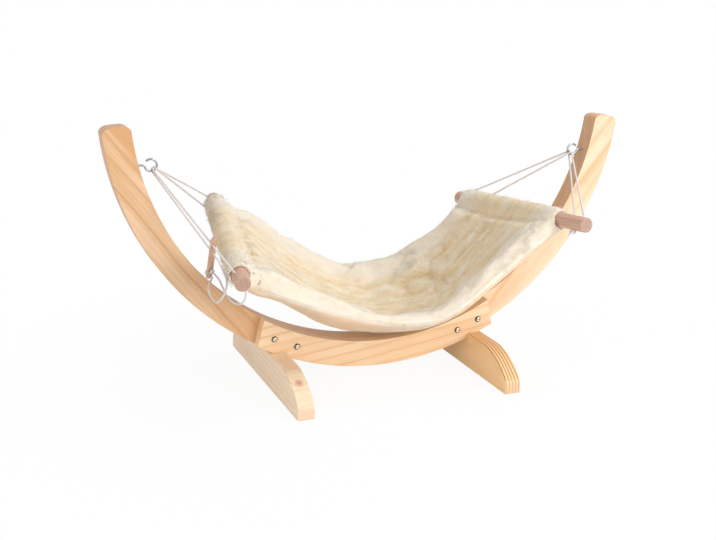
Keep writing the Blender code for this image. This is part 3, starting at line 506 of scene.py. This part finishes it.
def finish_piece(name, bm, material, body, stands_for=(), flat_angle=radians(38)):
    """Makes a piece from a bmesh: smooth but for its corners, with its material and, if named, its body."""
    smooth_faces(bm)
    for edge in bm.edges:
        if edge.is_manifold and edge.calc_face_angle(0.0) > flat_angle:
            edge.smooth = False
    piece = as_object(name, bm, material)
    weighted = piece.modifiers.new("flat_faces_stay_flat", "WEIGHTED_NORMAL")
    weighted.keep_sharp = True
    if body:
        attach(piece, body)
    if stands_for:
        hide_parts(*stands_for)
    return piece


def aimed(place, direction):
    """Placement at a point, with Z along a direction."""
    return Matrix.Translation(place) @ direction.to_track_quat("Z", "Y").to_matrix().to_4x4()


def add_rod(bm, middle, direction, radius, length, segments):
    """Adds a closed cylinder to a bmesh."""
    bmesh.ops.create_cone(
        bm, cap_ends=True, segments=segments, radius1=radius, radius2=radius, depth=length,
        matrix=aimed(middle, direction),
    )


def opened(mesh):
    """Bmesh of a mesh."""
    bm = bmesh.new()
    bm.from_mesh(mesh)
    return bm


def only_verts(geometry):
    return [item for item in geometry if isinstance(item, bmesh.types.BMVert)]


def face_outward(bm):
    bmesh.ops.recalc_face_normals(bm, faces=bm.faces)


def round_off(bm, corners, radius, segments, affect="EDGES"):
    """Rounds edges, or the corners of an outline."""
    bmesh.ops.bevel(
        bm, geom=corners, offset=radius, segments=segments, profile=0.5, affect=affect, material=-1,
        clamp_overlap=affect == "EDGES",
    )


def merged_copy(node):
    """Bmesh of a CAD node with its triangles joined and its flat faces whole."""
    bm = opened(nodes[node].data)
    bmesh.ops.remove_doubles(bm, verts=bm.verts, dist=WELD)
    bmesh.ops.dissolve_limit(bm, angle_limit=radians(1.0), verts=bm.verts, edges=bm.edges)
    return bm


def thicken_and_round(bm, depth):
    """Pulls a flat outline back along Y and rounds its corners."""
    pulled = bmesh.ops.extrude_face_region(bm, geom=list(bm.faces))
    bmesh.ops.translate(bm, verts=only_verts(pulled["geom"]), vec=(0.0, depth, 0.0))
    face_outward(bm)
    corners = [e for e in bm.edges if e.calc_face_angle(0.0) > SHARP_CORNER]
    round_off(bm, corners, WOOD_EDGE, 4)


def arc_strip(start, end, front, steps):
    """Flat strip between the stand's two radii, from one angle to another, at the given front."""
    bm = bmesh.new()
    turn = Matrix.Rotation(-start, 3, "Y")
    ends = [bm.verts.new(ARC_CENTRE + turn @ Vector((0.0, 0.0, -r))) for r in (ARC_INNER, ARC_OUTER)]
    first = bm.edges.new(ends)
    spun = bmesh.ops.spin(
        bm, geom=[*ends, first], cent=ARC_CENTRE, axis=(0.0, 1.0, 0.0), angle=start - end, steps=steps
    )
    bmesh.ops.translate(bm, verts=bm.verts, vec=(0.0, front, 0.0))
    return bm, only_verts(spun["geom_last"])


def make_arm(side, word, wood):
    """Curved arm with a rounded free end, butted against the other at the middle."""
    bm, tip = arc_strip(side * 0.00035, side * ARM_END_ANGLE, ARM_FRONT, 64)
    round_off(bm, tip, ARM_END_ROUND, 9, "VERTICES")
    thicken_and_round(bm, ARM_BACK - ARM_FRONT)
    finish_piece(f"{word}_arm_pine", bm, wood, "stand", [f"{word}_arm"])


def make_board(wood):
    """Centre board on the front of the arms, with leaning ends."""
    bm, _ = arc_strip(radians(-31), radians(31), BOARD_FRONT, 56)
    middle = (ARC_INNER + ARC_OUTER) / 2
    height = ARC_CENTRE.z - sqrt(middle**2 - BOARD_HALF_LENGTH**2)
    for side in (-1, 1):
        bmesh.ops.bisect_plane(
            bm, geom=[*bm.verts, *bm.edges, *bm.faces],
            plane_co=(side * BOARD_HALF_LENGTH, 0.0, height),
            plane_no=(side * cos(BOARD_END_LEAN), 0.0, sin(BOARD_END_LEAN)), clear_outer=True,
        )
    thicken_and_round(bm, BOARD_BACK - BOARD_FRONT)
    finish_piece("centre_board_pine", bm, wood, "stand", ["centre_board"])


def make_stand():
    """Arms, centre board and feet, each cut from its own piece of pine."""
    rise, lie = radians(51), radians(9)
    left_wood = pine(
        "pine_left_arm", (cos(rise), 0.0, -sin(rise)), (-0.335, 0.095, 0.130),
        ("EDC9A4", "E3B98F", "CF9C6E", "D8A26A"), ring=0.013, seed=1.0, sawn=True, amber_from=0.145,
    )
    right_wood = pine(
        "pine_right_arm", (cos(rise), 0.0, sin(rise)), (0.325, 0.110, 0.165),
        ("F6DDBE", "F2D0AC", "E4B183", "E8B886"), ring=0.018, seed=2.3, sawn=True,
    )
    make_arm(-1, "left", left_wood)
    make_arm(1, "right", right_wood)
    make_board(pine(
        "pine_centre_board", (cos(lie), 0.0, sin(lie)), (0.0, 0.050, -0.070),
        ("F8DCB8", "F4D0A6", "E4B484", "EBBD8E"), ring=0.015, seed=4.1, sawn=True,
    ))
    foot_wood = {
        "left": pine(
            "pine_left_foot", (0.0, 1.0, 0.0), (-0.180, 0.0, -0.012), ("FAE3C8", "F6DCBA", "EECDAA", "F3D2AA"),
            ring=0.009, seed=5.2, knot=(-0.184, -0.134, 0.046),
        ),
        "right": pine(
            "pine_right_foot", (0.0, 1.0, 0.0), (0.5993, 0.0, 0.030), ("F6D09A", "DCA068", "84482A", "E4A868"),
            ring=0.0058, seed=6.6, warp=0.003, sharp=True,
        ),
    }
    for word, wood in foot_wood.items():
        finish_piece(f"{word}_foot_pine", merged_copy(f"{word}_foot"), wood, "stand", [f"{word}_foot"])


def make_bolt(number, word, x, z, steel, rim_shade_steel):
    """Socket button bolt head on the board's front: its middle is pale as painted highlight and its rim darker as
    painted shade.
    """
    bm = bmesh.new()
    head = BOLT_HEAD / 2
    profile = [
        (0.0, -0.0012), (0.0021, -0.0012), (0.0023, -0.0031), (0.0027, -0.0034), (head * 0.72, -0.0031),
        (head * 0.92, -0.0020), (head, -0.0008), (head, 0.0), (0.003, 0.0), (0.003, 0.030), (0.0, 0.030),
    ]
    corners = [bm.verts.new((x + r, BOARD_FRONT + y, z)) for r, y in profile]
    edges = [bm.edges.new(pair) for pair in zip(corners, corners[1:])]
    bmesh.ops.spin(
        bm, geom=[*corners, *edges], cent=(x, BOARD_FRONT, z), axis=(0.0, 1.0, 0.0), angle=2 * pi, steps=36,
        use_merge=True,
    )
    bmesh.ops.remove_doubles(bm, verts=bm.verts, dist=WELD)
    face_outward(bm)
    # The rim takes the dark steel as painted shade, the middle keeps the pale steel as painted highlight
    for face in bm.faces:
        middle = face.calc_center_median()
        if Vector((middle.x - x, 0.0, middle.z - z)).length > head * 0.62:
            face.material_index = 1
    piece = finish_piece(
        f"{word}_bolt_head_{number}", bm, steel, "stand", [f"{word}_bolt_{number}"]
    )
    piece.data.materials.append(rim_shade_steel)


def make_metalwork():
    """Bolts with their washers and cap nuts, foot screws and hooks."""
    steel = zinc_steel("zinc_plated_steel", "9FA1A4")
    rim_shade_steel = zinc_steel("zinc_rim_painted_shade", "5C554E")
    head_highlight_steel = zinc_steel("zinc_head_painted_highlight", "DCD2BE")
    for index, (x, z) in enumerate(BOLT_PLACES):
        make_bolt(index % 2 + 1, "left" if x < 0 else "right", x, z, head_highlight_steel, rim_shade_steel)
    for name in nodes:
        if "washer" in name or "cap_nut" in name or "foot_screw" in name:
            finish_piece(f"{name}_zinc", merged_copy(name), steel, "stand", [name])
    for side, word in ((-1, "left"), (1, "right")):
        make_hook(side, word, steel)


def curve_tube(name, lines, radius, sides=1):
    """Bmesh of round tubes along lines of points."""
    curve = bpy.data.curves.new(name, "CURVE")
    curve.dimensions = "3D"
    curve.bevel_depth = radius
    curve.bevel_resolution = sides
    curve.use_fill_caps = True
    for line in lines:
        spline = curve.splines.new("POLY")
        spline.points.add(len(line) - 1)
        for target, point in zip(spline.points, line):
            target.co = (*point[:3], 1.0)
            target.radius = point[3] if len(point) > 3 else 1.0
    holder = link_object(name + "_line", curve)
    mesh = shown_mesh(holder)
    bpy.data.objects.remove(holder, do_unlink=True)
    bm = opened(mesh)
    bpy.data.meshes.remove(mesh)
    bmesh.ops.remove_doubles(bm, verts=bm.verts, dist=0.000001)
    face_outward(bm)
    return bm


def make_hook(side, word, steel):
    """Screw hook: threaded shank, a small bend and an open eye."""
    rise = radians(20)
    quarter = pi / 2 - rise
    bend = HOOK_EYE_RADIUS * sin(rise) / (1 - cos(quarter))
    bend_start = -HOOK_EYE_RADIUS * cos(rise) - bend * sin(quarter)
    entry = HOOK_ENTRY_X - HOOK_EYE.x
    shank_end = entry - 0.016
    ridges, bend_steps, eye_steps = 60, 6, 48
    points = []
    for k in range(ridges + 1):
        # Thread: the shank's radius rises and falls once every 1.3 mm
        a = shank_end + (bend_start - shank_end) * k / ridges
        thread = 1.0 + 0.16 * (k % 3 == 0) if a < entry + 0.004 else 1.0
        points.append((a, 0.0, thread))
    for k in range(1, bend_steps + 1):
        turn = quarter * k / bend_steps
        points.append((bend_start + bend * sin(turn), -bend * (1 - cos(turn)), 1.0))
    for k in range(1, eye_steps + 1):
        angle = radians(200) + radians(300) * k / eye_steps
        points.append((HOOK_EYE_RADIUS * cos(angle), HOOK_EYE_RADIUS * sin(angle), 1.0))
    line = [(-side * (HOOK_EYE.x + a), HOOK_EYE.y, HOOK_EYE.z + b, grown) for a, b, grown in points]
    bm = curve_tube(f"{word}_hook_wire", [line], HOOK_WIRE / 2, sides=4)
    finish_piece(f"{word}_screw_hook", bm, steel, "stand", [f"{word}_hook"])


def make_dowel(word, centre, axis, hole_axis):
    """Round dowel with a rope hole near each end."""
    bm = bmesh.new()
    add_rod(bm, centre, axis, DOWEL_DIAMETER / 2, DOWEL_LENGTH, 56)
    rims = [e for e in bm.edges if e.calc_face_angle(0.0) > SHARP_CORNER]
    round_off(bm, rims, DOWEL_EDGE, 3)
    wood = raw_beech(f"beech_{word}_dowel", axis, centre)
    piece = finish_piece(f"{word}_dowel_beech", bm, wood, "hammock", [f"{word}_dowel"])
    for end in (-1, 1):
        drill(piece, centre + axis * end * (DOWEL_LENGTH / 2 - ROPE_HOLE_INSET), hole_axis)


def drill(piece, middle, direction):
    """Cuts a round rope hole right through a piece."""
    bm = bmesh.new()
    add_rod(bm, middle, direction, ROPE_HOLE_RADIUS, 0.05, 24)
    cutter = as_object("drill", bm)
    knife = piece.modifiers.new("hole", "BOOLEAN")
    knife.operation = "DIFFERENCE"
    knife.object = cutter
    # Only the hole goes into the mesh; the other modifier stays one
    weighted = piece.modifiers["flat_faces_stay_flat"]
    weighted.show_viewport = False
    mesh = shown_mesh(piece)
    weighted.show_viewport = True
    piece.modifiers.remove(knife)
    piece.data = mesh
    bpy.data.objects.remove(cutter, do_unlink=True)


def smooth_line(points, step):
    """Even points on a smooth curve through a route's own points."""
    points = [Vector(point) for point in points]
    ends = [2 * points[0] - points[1], *points, 2 * points[-1] - points[-2]]
    fine = []
    for p0, p1, p2, p3 in zip(ends, ends[1:], ends[2:], ends[3:]):
        # Each tangent is scaled to its own span, so that a short span next to a long one doesn't loop
        span = (p2 - p1).length
        pull_in = (p2 - p0).normalized() * span
        pull_out = (p3 - p1).normalized() * span
        count = max(2, int(span / step * 3))
        for k in range(count):
            t = k / count
            fine.append(
                p1 * (2 * t**3 - 3 * t**2 + 1) + pull_in * (t**3 - 2 * t**2 + t)
                + p2 * (3 * t**2 - 2 * t**3) + pull_out * (t**3 - t**2)
            )
    fine.append(points[-1])
    line, walked = [fine[0]], 0.0
    for before, point in zip(fine, fine[1:]):
        walked += (point - before).length
        if walked >= step:
            line.append(point)
            walked = 0.0
    line.append(fine[-1])
    return line


def strand_lines(centre):
    """Three strands wound round a rope's centre line."""
    offset = ROPE_DIAMETER * 0.22
    strands = [[], [], []]
    side = (centre[1] - centre[0]).orthogonal().normalized()
    walked = 0.0
    for index, point in enumerate(centre):
        ahead = centre[min(index + 1, len(centre) - 1)] - centre[max(index - 1, 0)]
        ahead.normalize()
        side = (side - ahead * side.dot(ahead)).normalized()
        across = ahead.cross(side)
        if index:
            walked += (point - centre[index - 1]).length
        for number, strand in enumerate(strands):
            turn = 2 * pi * (walked / ROPE_PITCH + number / 3)
            strand.append(point + side * cos(turn) * offset + across * sin(turn) * offset)
    return strands


def make_rope(name, route, material, body):
    """Three-strand twisted rope, and its centre line."""
    centre = smooth_line([[c / 10000 for c in point] for point in route], 0.0011)
    bm = curve_tube(name, strand_lines(centre), ROPE_DIAMETER * 0.36)
    return finish_piece(f"{name}_twisted", bm, material, body, [name], ROUND_EDGES), centre


def make_knot(name, place, upward, material, body):
    """Tight overhand knot with a short tail below."""
    turn = upward.to_track_quat("Z", "Y").to_matrix()
    place = Vector(place)
    steps = 72
    loop = []
    for k in range(steps + 1):
        t = 2 * pi * k / steps
        flat = Vector((sin(t) + 2 * sin(2 * t), cos(t) - 2 * cos(2 * t), -1.15 * sin(3 * t))) * KNOT_SIZE
        loop.append(place + turn @ flat)
    tail = [place + turn @ Vector((0.0008, 0.0, -0.001 - 0.001 * k)) for k in range(9)]
    bm = curve_tube(name, [loop, tail], ROPE_DIAMETER / 2, sides=2)
    finish_piece(f"{name}_tied", bm, material, body, [name], ROUND_EDGES)


def make_ropes():
    """Four loaded ropes, two slack tails, and the knots under the dowels and on the cord runner."""
    bleached = cotton("bleached_cotton", ("CFC7C3", "E4DDDA", "EFEBE9"))
    for name, route in ROPES.items():
        make_rope(name, route, bleached, "hammock")
    for name, route in TAILS.items():
        still, carried = TAIL_BENDS[name]
        piece, centre = make_rope(name, route, bleached, None)
        # The knotted end goes with the runner as it slides
        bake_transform(piece, "hammock", "cord_runner", start=(0.0, still, 0.0), end=(0.0, carried, 0.0))
    for name, (place, upward) in KNOTS.items():
        make_knot(name, place, upward, bleached, "hammock")
    for name, (place, upward) in RUNNER_KNOTS.items():
        make_knot(name, Vector(place) + upward * 0.0058, upward, bleached, "cord_runner")


def make_runner():
    """Flat wooden cord runner."""
    wood = raw_beech("beech_cord_runner", (0.0420, 0.5274, -0.8486), (-0.3133, -0.0908, 0.2506))
    finish_piece("cord_runner_beech", merged_copy("cord_runner"), wood, "cord_runner", ["cord_runner"])


def across_pad(values, v):
    """Value at v across the sling, on the parabola through its front, middle and back values."""
    front, middle, back = values
    return front * (1 - v) * (1 - 2 * v) + 4 * middle * v * (1 - v) + back * v * (2 * v - 1)


def on_dowel(left, distance):
    """Place on a dowel's axis, measured from its front end."""
    centre, axis = DOWELS[left]
    return centre + axis * (distance - DOWEL_LENGTH / 2)


def pad_point(u, v):
    """Middle surface of the sling: u runs from the left dowel to the right, v from front to back."""
    left = u < 0.5
    slopes, t = (PAD_LEFT_SLOPE, u * 2) if left else (PAD_RIGHT_SLOPE, 2 - u * 2)
    if v < 0.5:
        flare = PAD_FRONT_FLARE * (2 * v - 1) * 9.5 * t * (1 - t) ** 3
    else:
        flare = PAD_BACK_FLARE * (2 * v - 1) * 28.9 * t**2 * (1 - t) ** 3
    # The plush reaches further along the dowels at the front left and back right corners
    if left == (v < 0.5):
        flare += (FRONT_LEFT_FLAP if left else BACK_RIGHT_FLAP) * (2 * v - 1) * (1 - t) ** 5
    end = on_dowel(left, SLEEVE_START + PAD_MARGIN + v * (SLEEVE_END - SLEEVE_START - 2 * PAD_MARGIN) + flare)
    low = Vector((across_pad(PAD_LOW_X, v), across_pad(PAD_LOW_Y, v), across_pad(PAD_LOW_Z, v)))
    run = low.x - end.x
    eased = t * t * (3 - 2 * t)
    z = end.z + (low.z - end.z) * eased + across_pad(slopes, v) * run * (t**3 - 2 * t**2 + t)
    return Vector((end.x + run * t, end.y + (low.y - end.y) * sin(t * pi / 2), z))


def pad_normal(u, v):
    """Upward normal of the sling's middle surface."""
    step = 0.001
    along = pad_point(min(u + step, 1.0), v) - pad_point(max(u - step, 0.0), v)
    across = pad_point(u, min(v + step, 1.0)) - pad_point(u, max(v - step, 0.0))
    return along.cross(across).normalized()


def step_up(value, low, high):
    """Smooth step from 0 at low to 1 at high."""
    share = min(1.0, max(0.0, (value - low) / (high - low)))
    return share * share * (3 - 2 * share)


def underside_lift(u, v):
    """How far the front half of the underside is lifted; the rim itself is only let down."""
    for (low, start), (high, end) in zip(UNDERSIDE_LIFT, UNDERSIDE_LIFT[1:]):
        if low <= u <= high:
            lift = start + (end - start) * (u - low) / (high - low)
            break
    behind_rim = step_up(v, 0.0, 0.12) if lift > 0 else 1.0
    return lift * behind_rim * (1.0 - step_up(v, 0.3, 0.5))


def from_dowel(place):
    """Distance from the nearer dowel's axis, the place along it, and which way it points."""
    centre, axis = DOWELS[place.x < 0]
    along = (place - centre).dot(axis)
    return (place - centre - axis * along).length, along + DOWEL_LENGTH / 2, axis


def sewn_shell():
    """Slim closed shell of the sling with its two sleeves, before it is filled."""
    bm = bmesh.new()
    bmesh.ops.create_grid(bm, x_segments=76, y_segments=56, size=0.5)
    raised = bmesh.ops.extrude_face_region(bm, geom=list(bm.faces))
    upper = set(only_verts(raised["geom"]))
    for vert in list(bm.verts):
        u, v = vert.co.x + 0.5, vert.co.y + 0.5
        inward = min(1.0, 5 * min(u, 1 - u))
        edge = min(1.0, (0.5 - abs(v - 0.5)) / RIM_SHARE)
        fullness = max(0.58, (1 - (1 - edge) ** 3) ** (1 / 3))
        thickness = (PAD_END_THICKNESS + (PAD_THICKNESS - PAD_END_THICKNESS) * inward - PAD_GROWTH) * fullness
        offset = thickness / 2 if vert in upper else -thickness / 2
        vert.co = pad_point(u, v) + pad_normal(u, v) * offset
        if vert not in upper:
            vert.co.z += underside_lift(min(max(u, 0.0), 1.0), v)
    for left, ends in ((True, LEFT_SLEEVE), (False, RIGHT_SLEEVE)):
        start, end = (on_dowel(left, distance) for distance in ends)
        sleeve = end - start
        add_rod(bm, (start + end) / 2, sleeve, DOWEL_DIAMETER / 2 + SLEEVE_WALL, sleeve.length, 40)
    face_outward(bm)
    return bm


def bake_modifiers(piece):
    """Puts what the modifiers do into the piece's own mesh."""
    mesh = shown_mesh(piece)
    piece.modifiers.clear()
    piece.data = mesh


def fill_sling(sling, sling_map):
    """Cloth under pressure, a little larger than its shell, held by its sleeves and capped in its travel."""
    before = [vert.co.copy() for vert in sling.data.vertices]
    held = sling.vertex_groups.new(name="held")
    for index, place in enumerate(before):
        held.add([index], 1.0 - step_up(from_dowel(place)[0], 0.022, 0.045), "REPLACE")
    cloth = sling.modifiers.new("filling", "CLOTH")
    for name, value in {
        "quality": 5, "mass": 0.3, "use_pressure": True, "uniform_pressure_force": 4.0, "shrink_min": -0.035,
        "vertex_group_mass": held.name,
    }.items():
        setattr(cloth.settings, name, value)
    cloth.settings.effector_weights.gravity = 0.0
    cloth.collision_settings.use_collision = False
    cloth.point_cache.frame_start = 1
    cloth.point_cache.frame_end = FILL_FRAMES
    for number in range(1, FILL_FRAMES + 1):
        scene.frame_set(number)
    bake_modifiers(sling)
    scene.frame_set(1)
    for vert, start in zip(sling.data.vertices, before):
        travel = vert.co - start
        upward = step_up(sling_map.find(start)[2], -0.008, 0.002)
        cap = UNDERSIDE_FILL_CAP + (FILL_CAP - UNDERSIDE_FILL_CAP) * upward
        if travel.length > cap:
            vert.co = start + travel * (cap / travel.length)


class SlingMap:
    """Finds where a point lies on the sling: along it, across it, and above or below its middle."""

    def __init__(self, along=150, across=90):
        self.places = [(i / along, j / across) for i in range(along + 1) for j in range(across + 1)]
        self.points = [pad_point(u, v) for u, v in self.places]
        self.normals = [pad_normal(u, v) for u, v in self.places]
        self.tree = KDTree(len(self.points))
        for index, point in enumerate(self.points):
            self.tree.insert(point, index)
        self.tree.balance()

    def find(self, place):
        """Place along the sling, place across it, and height above its middle surface."""
        _, index, _ = self.tree.find(place)
        u, v = self.places[index]
        return u, v, (place - self.points[index]).dot(self.normals[index])


def plush_share(height, distance):
    """1 on the plush cover and 0 on the lining: the lining starts below the seam that runs round the edge."""
    on_pad = step_up(height, -0.0135, -0.0095)
    return max(on_pad, 1.0 - step_up(distance, 0.022, 0.027))


def press_seams(sling, sling_map):
    """Creases, puckers and seam grooves, pressed into the filled sling."""
    mesh = sling.data
    normals = [Vector(item.vector) for item in mesh.vertex_normals]
    for vert, normal in zip(mesh.vertices, normals):
        place = vert.co
        u, v, height = sling_map.find(place)
        distance, along, axis = from_dowel(place)
        far, wide = u * SLING_LENGTH, v * SLING_WIDTH
        top = step_up(height, 0.0, 0.008)
        rim = step_up(abs(v - 0.5), 0.44, 0.49)
        # Creases run from the dowels into the hollow, a little askew
        askew = wide + far * 0.30
        crease = noise.noise((askew * 44, far * 6, 1.7)) * CREASE
        crease += noise.noise((askew * 110, far * 14, 5.1)) * FINE_CREASE
        near_dowel = step_up(u, 0.60, 0.86) + 0.15 * (1 - step_up(u, 0.10, 0.30))
        lumps = noise.noise((far * 24, wide * 24, 9.3)) * LUMP
        pucker = noise.noise((far * 75, height * 30, 2.2)) * PUCKER * rim
        loose = step_up(distance, 0.019, 0.042)
        push = (crease * min(1.0, near_dowel) * top + lumps * top) * (1 - rim * 0.85) * loose + pucker
        # Long slack wrinkles in the lining
        below = (1 - step_up(height, -0.015, -0.007)) * (1 - rim) * step_up(distance, 0.028, 0.050)
        push += noise.noise((wide * 34 + far * 5, far * 6, 4.4)) * WRINKLE * below
        # Seam where plush meets lining, just below the middle of the rim
        push -= EDGE_SEAM * rim * (1 - step_up(abs(height - EDGE_SEAM_HEIGHT), 0.0010, 0.0045))
        # Sleeve seam, and the valley between the sleeve and the pad
        inside_rim = 1 - step_up(abs(v - 0.5), 0.42, 0.5)
        push -= SLEEVE_SEAM * (1 - step_up(abs(distance - 0.030), 0.0015, 0.0065)) * inside_rim
        if distance < DOWEL_DIAMETER / 2 + 0.0022 and not 0.070 < along < 0.306:
            # The sleeve's mouth is open round the dowel
            vert.co = place + axis * (0.007 if along < DOWEL_LENGTH / 2 else -0.007)
        else:
            vert.co = place + normal * push


def bears_pile(middle, sling_map):
    """Whether a point is on the plush and not in a sleeve's mouth, its v, and its place at the nearer dowel."""
    _, v, height = sling_map.find(middle)
    distance, along, axis = from_dowel(middle)
    furred = plush_share(height, distance) > 0.5 and distance > DOWEL_DIAMETER / 2 + 0.003
    return furred, v, distance, along, axis


def raise_pile(sling, sling_map):
    """Short pile: the middle of every face on the plush is raised and leaned along the brush."""
    bm = opened(sling.data)
    bm.faces.ensure_lookup_table()
    furred = [face for face in bm.faces if bears_pile(face.calc_center_median(), sling_map)[0]]
    poked = bmesh.ops.poke(bm, faces=furred, offset=PILE, center_mode="MEAN")
    bm.normal_update()
    for vert in poked["verts"]:
        place = vert.co.copy()
        lean = noise.noise_vector(place * 60) * PILE_LEAN + noise.noise_vector(place * 400) * PILE_LEAN
        # Pile never leans into the cloth
        vert.co = place + lean - vert.normal * min(0.0, lean.dot(vert.normal))
    smooth_faces(bm)
    bm.to_mesh(sling.data)
    bm.free()


def add_tufts(sling, material, sling_map):
    """Stray tufts of pile along the edges, the sleeves and the corners, each one a slim three-sided cone."""
    chance = random.Random(7)
    bm = bmesh.new()
    polygons = sling.data.polygons
    made = 0
    while made < TUFT_COUNT:
        polygon = polygons[chance.randrange(len(polygons))]
        middle, normal = polygon.center.copy(), polygon.normal.copy()
        furred, v, distance, along, axis = bears_pile(middle, sling_map)
        if not furred:
            continue
        mouth = distance < 0.03 and (along < 0.075 or along > 0.315)
        weight = 1.0 if mouth else 0.45 if distance < 0.03 else 0.35 if abs(v - 0.5) > 0.44 else 0.05
        if chance.random() > weight:
            continue
        length = chance.uniform(0.004, 0.0085) + (0.003 if mouth else 0.0)
        toward = normal + noise.noise_vector(middle * 90) * 0.9
        if mouth:
            toward += axis * (-0.8 if along < DOWEL_LENGTH / 2 else 0.8)
        toward.normalize()
        bmesh.ops.create_cone(
            bm, cap_ends=False, segments=3, radius1=chance.uniform(0.0004, 0.0008), radius2=0.00005,
            depth=length, matrix=aimed(middle + toward * (length / 2 - 0.001), toward),
        )
        made += 1
    smooth_faces(bm)
    piece = as_object("sling_stray_tufts", bm, material)
    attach(piece, "hammock")
    mark_cloth(piece, sling_map)


def mark_cloth(piece, sling_map):
    """Writes each point's place on the cloth: metres along, metres across, plush or lining, and sleeve or pad."""
    attributes = piece.data.attributes
    attributes.new("cloth", "FLOAT_VECTOR", "POINT")
    attributes.new("sleeve", "FLOAT", "POINT")
    for vert, mark, sleeve in zip(piece.data.vertices, attributes["cloth"].data, attributes["sleeve"].data):
        u, v, height = sling_map.find(vert.co)
        distance = from_dowel(vert.co)[0]
        mark.vector = (u * SLING_LENGTH, v * SLING_WIDTH, plush_share(height, distance))
        sleeve.value = 1.0 - step_up(distance, 0.024, 0.036)


def sew(bm, surface, u, v, rise, length):
    """One stitch laid along the rim, so far above or below the middle of the pad."""
    centre = pad_point(u, v) + pad_normal(u, v) * rise
    outward = (pad_point(u, v) - pad_point(u, 0.5 + (v - 0.5) * 0.9)).normalized()
    hit, _, _, _ = surface.ray_cast(centre + outward * 0.03, -outward, 0.05)
    if hit is None:
        return
    along = (pad_point(u + 0.003, v) - pad_point(u - 0.003, v)).normalized()
    shape = Matrix.Diagonal((STITCH_RADIUS, STITCH_RADIUS, length / 2, 1.0))
    bmesh.ops.create_icosphere(
        bm, subdivisions=1, radius=1.0, matrix=aimed(hit + outward * 0.0002, along) @ shape
    )


def add_stitches(sling):
    """Lockstitches in the seam round the edge, one every 5 mm, and a tan bar tack at each corner."""
    surface = BVHTree.FromObject(sling, bpy.context.evaluated_depsgraph_get())
    seam, tacks = bmesh.new(), bmesh.new()
    for v in (0.0, 1.0):
        for k in range(6, 134):
            sew(seam, surface, k / 140, v, EDGE_SEAM_HEIGHT, 0.0034)
        for u in (0.050, 0.968):
            for row in range(7):
                sew(tacks, surface, u, v, 0.0012 * (row - 3), 0.0042)
    for name, thread_name, colours, bm in (
        ("sling_edge_stitches", "cream_sewing_thread", ("E9DCC6", "F6EEDF", "FCF8F0"), seam),
        ("sling_corner_tacks", "tan_sewing_thread", ("9A7448", "B58D5C", "C8A474"), tacks),
    ):
        smooth_faces(bm)
        piece = as_object(name, bm, cotton(thread_name, colours))
        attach(piece, "hammock")


def make_sling():
    """Padded sling: sewn shell, filled by cloth pressure, with its seams, creases and pile."""
    sling = as_object("sling_plush", sewn_shell())
    remesh = sling.modifiers.new("even_mesh", "REMESH")
    remesh.mode = "VOXEL"
    remesh.voxel_size = 0.006
    bake_modifiers(sling)
    bm = opened(sling.data)
    for _ in range(4):
        bmesh.ops.smooth_vert(bm, verts=bm.verts, factor=0.5, use_axis_x=True, use_axis_y=True, use_axis_z=True)
    bm.to_mesh(sling.data)
    bm.free()
    sling_map = SlingMap()
    fill_sling(sling, sling_map)
    finer = sling.modifiers.new("finer", "SUBSURF")
    finer.levels = 1
    finer.render_levels = 1
    bake_modifiers(sling)
    press_seams(sling, sling_map)
    raise_pile(sling, sling_map)
    plush = plush_pile()
    sling.data.materials.clear()
    sling.data.materials.append(plush)
    mark_cloth(sling, sling_map)
    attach(sling, "hammock")
    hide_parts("sling")
    add_stitches(sling)
    add_tufts(sling, plush, sling_map)


def make_floor():
    """Plain white floor that keeps a soft shadow near the stand and meets a white background."""
    bm = bmesh.new()
    bmesh.ops.create_grid(bm, x_segments=1, y_segments=1, size=6.0)
    floor = as_object("floor", bm)
    floor.location = (0.0, 0.0, -0.0005)
    material, tree, shader = new_material("white_floor")
    shader.inputs["Base Color"].default_value = srgb("FDFDFD")
    shader.inputs["Roughness"].default_value = 0.9
    away = vectors(tree, "LENGTH", object_place(tree))
    near = map_range(tree, away, 0.35, 0.75, 0.93, 1.0, "SMOOTHSTEP")
    glow = add_node(tree, "ShaderNodeEmission", {"Color": (1.0, 1.0, 1.0, 1.0), "Strength": 1.0})
    share = maths(tree, "MULTIPLY", seen_directly(tree), near)
    mixed = add_node(tree, "ShaderNodeMixShader", {0: share, 1: shader.outputs[0], 2: glow.outputs[0]})
    tree.links.new(mixed.outputs[0], tree.nodes["Material Output"].inputs["Surface"])
    floor.data.materials.append(material)


def add_lamp(name, place, size, power):
    """Round soft lamp aimed at the middle of the lounger."""
    data = bpy.data.lights.new(name, "AREA")
    data.shape = "DISK"
    data.size = size
    data.energy = power
    lamp = link_object(name, data)
    lamp.location = place
    lamp.rotation_euler = (LAMP_TARGET - Vector(place)).to_track_quat("-Z", "Y").to_euler()


def light_studio():
    """Soft studio light from the front, with a pale surround that shows white to the camera."""
    world = bpy.data.worlds.new("studio")
    scene.world = world
    world.use_nodes = True
    tree = world.node_tree
    fill_sockets(tree, tree.nodes["Background"], {
        "Color": (1.0, 1.0, 1.0, 1.0), "Strength": map_range(tree, seen_directly(tree), 0.0, 1.0, 0.45, 1.0),
    })
    add_lamp("key", (1.1, -2.1, 1.0), 1.6, 34.0)
    add_lamp("top", (0.9, 0.1, 2.2), 1.6, 18.0)
    add_lamp("fill", (-2.1, -1.0, 0.9), 1.4, 11.0)


place_camera()
make_stand()
make_metalwork()
make_dowel("left", *DOWELS[True], LEFT_HOLE_AXIS)
make_dowel("right", *DOWELS[False], RIGHT_HOLE_AXIS)
make_ropes()
make_runner()
make_sling()
make_floor()
light_studio()
scene.view_settings.view_transform = "Standard"
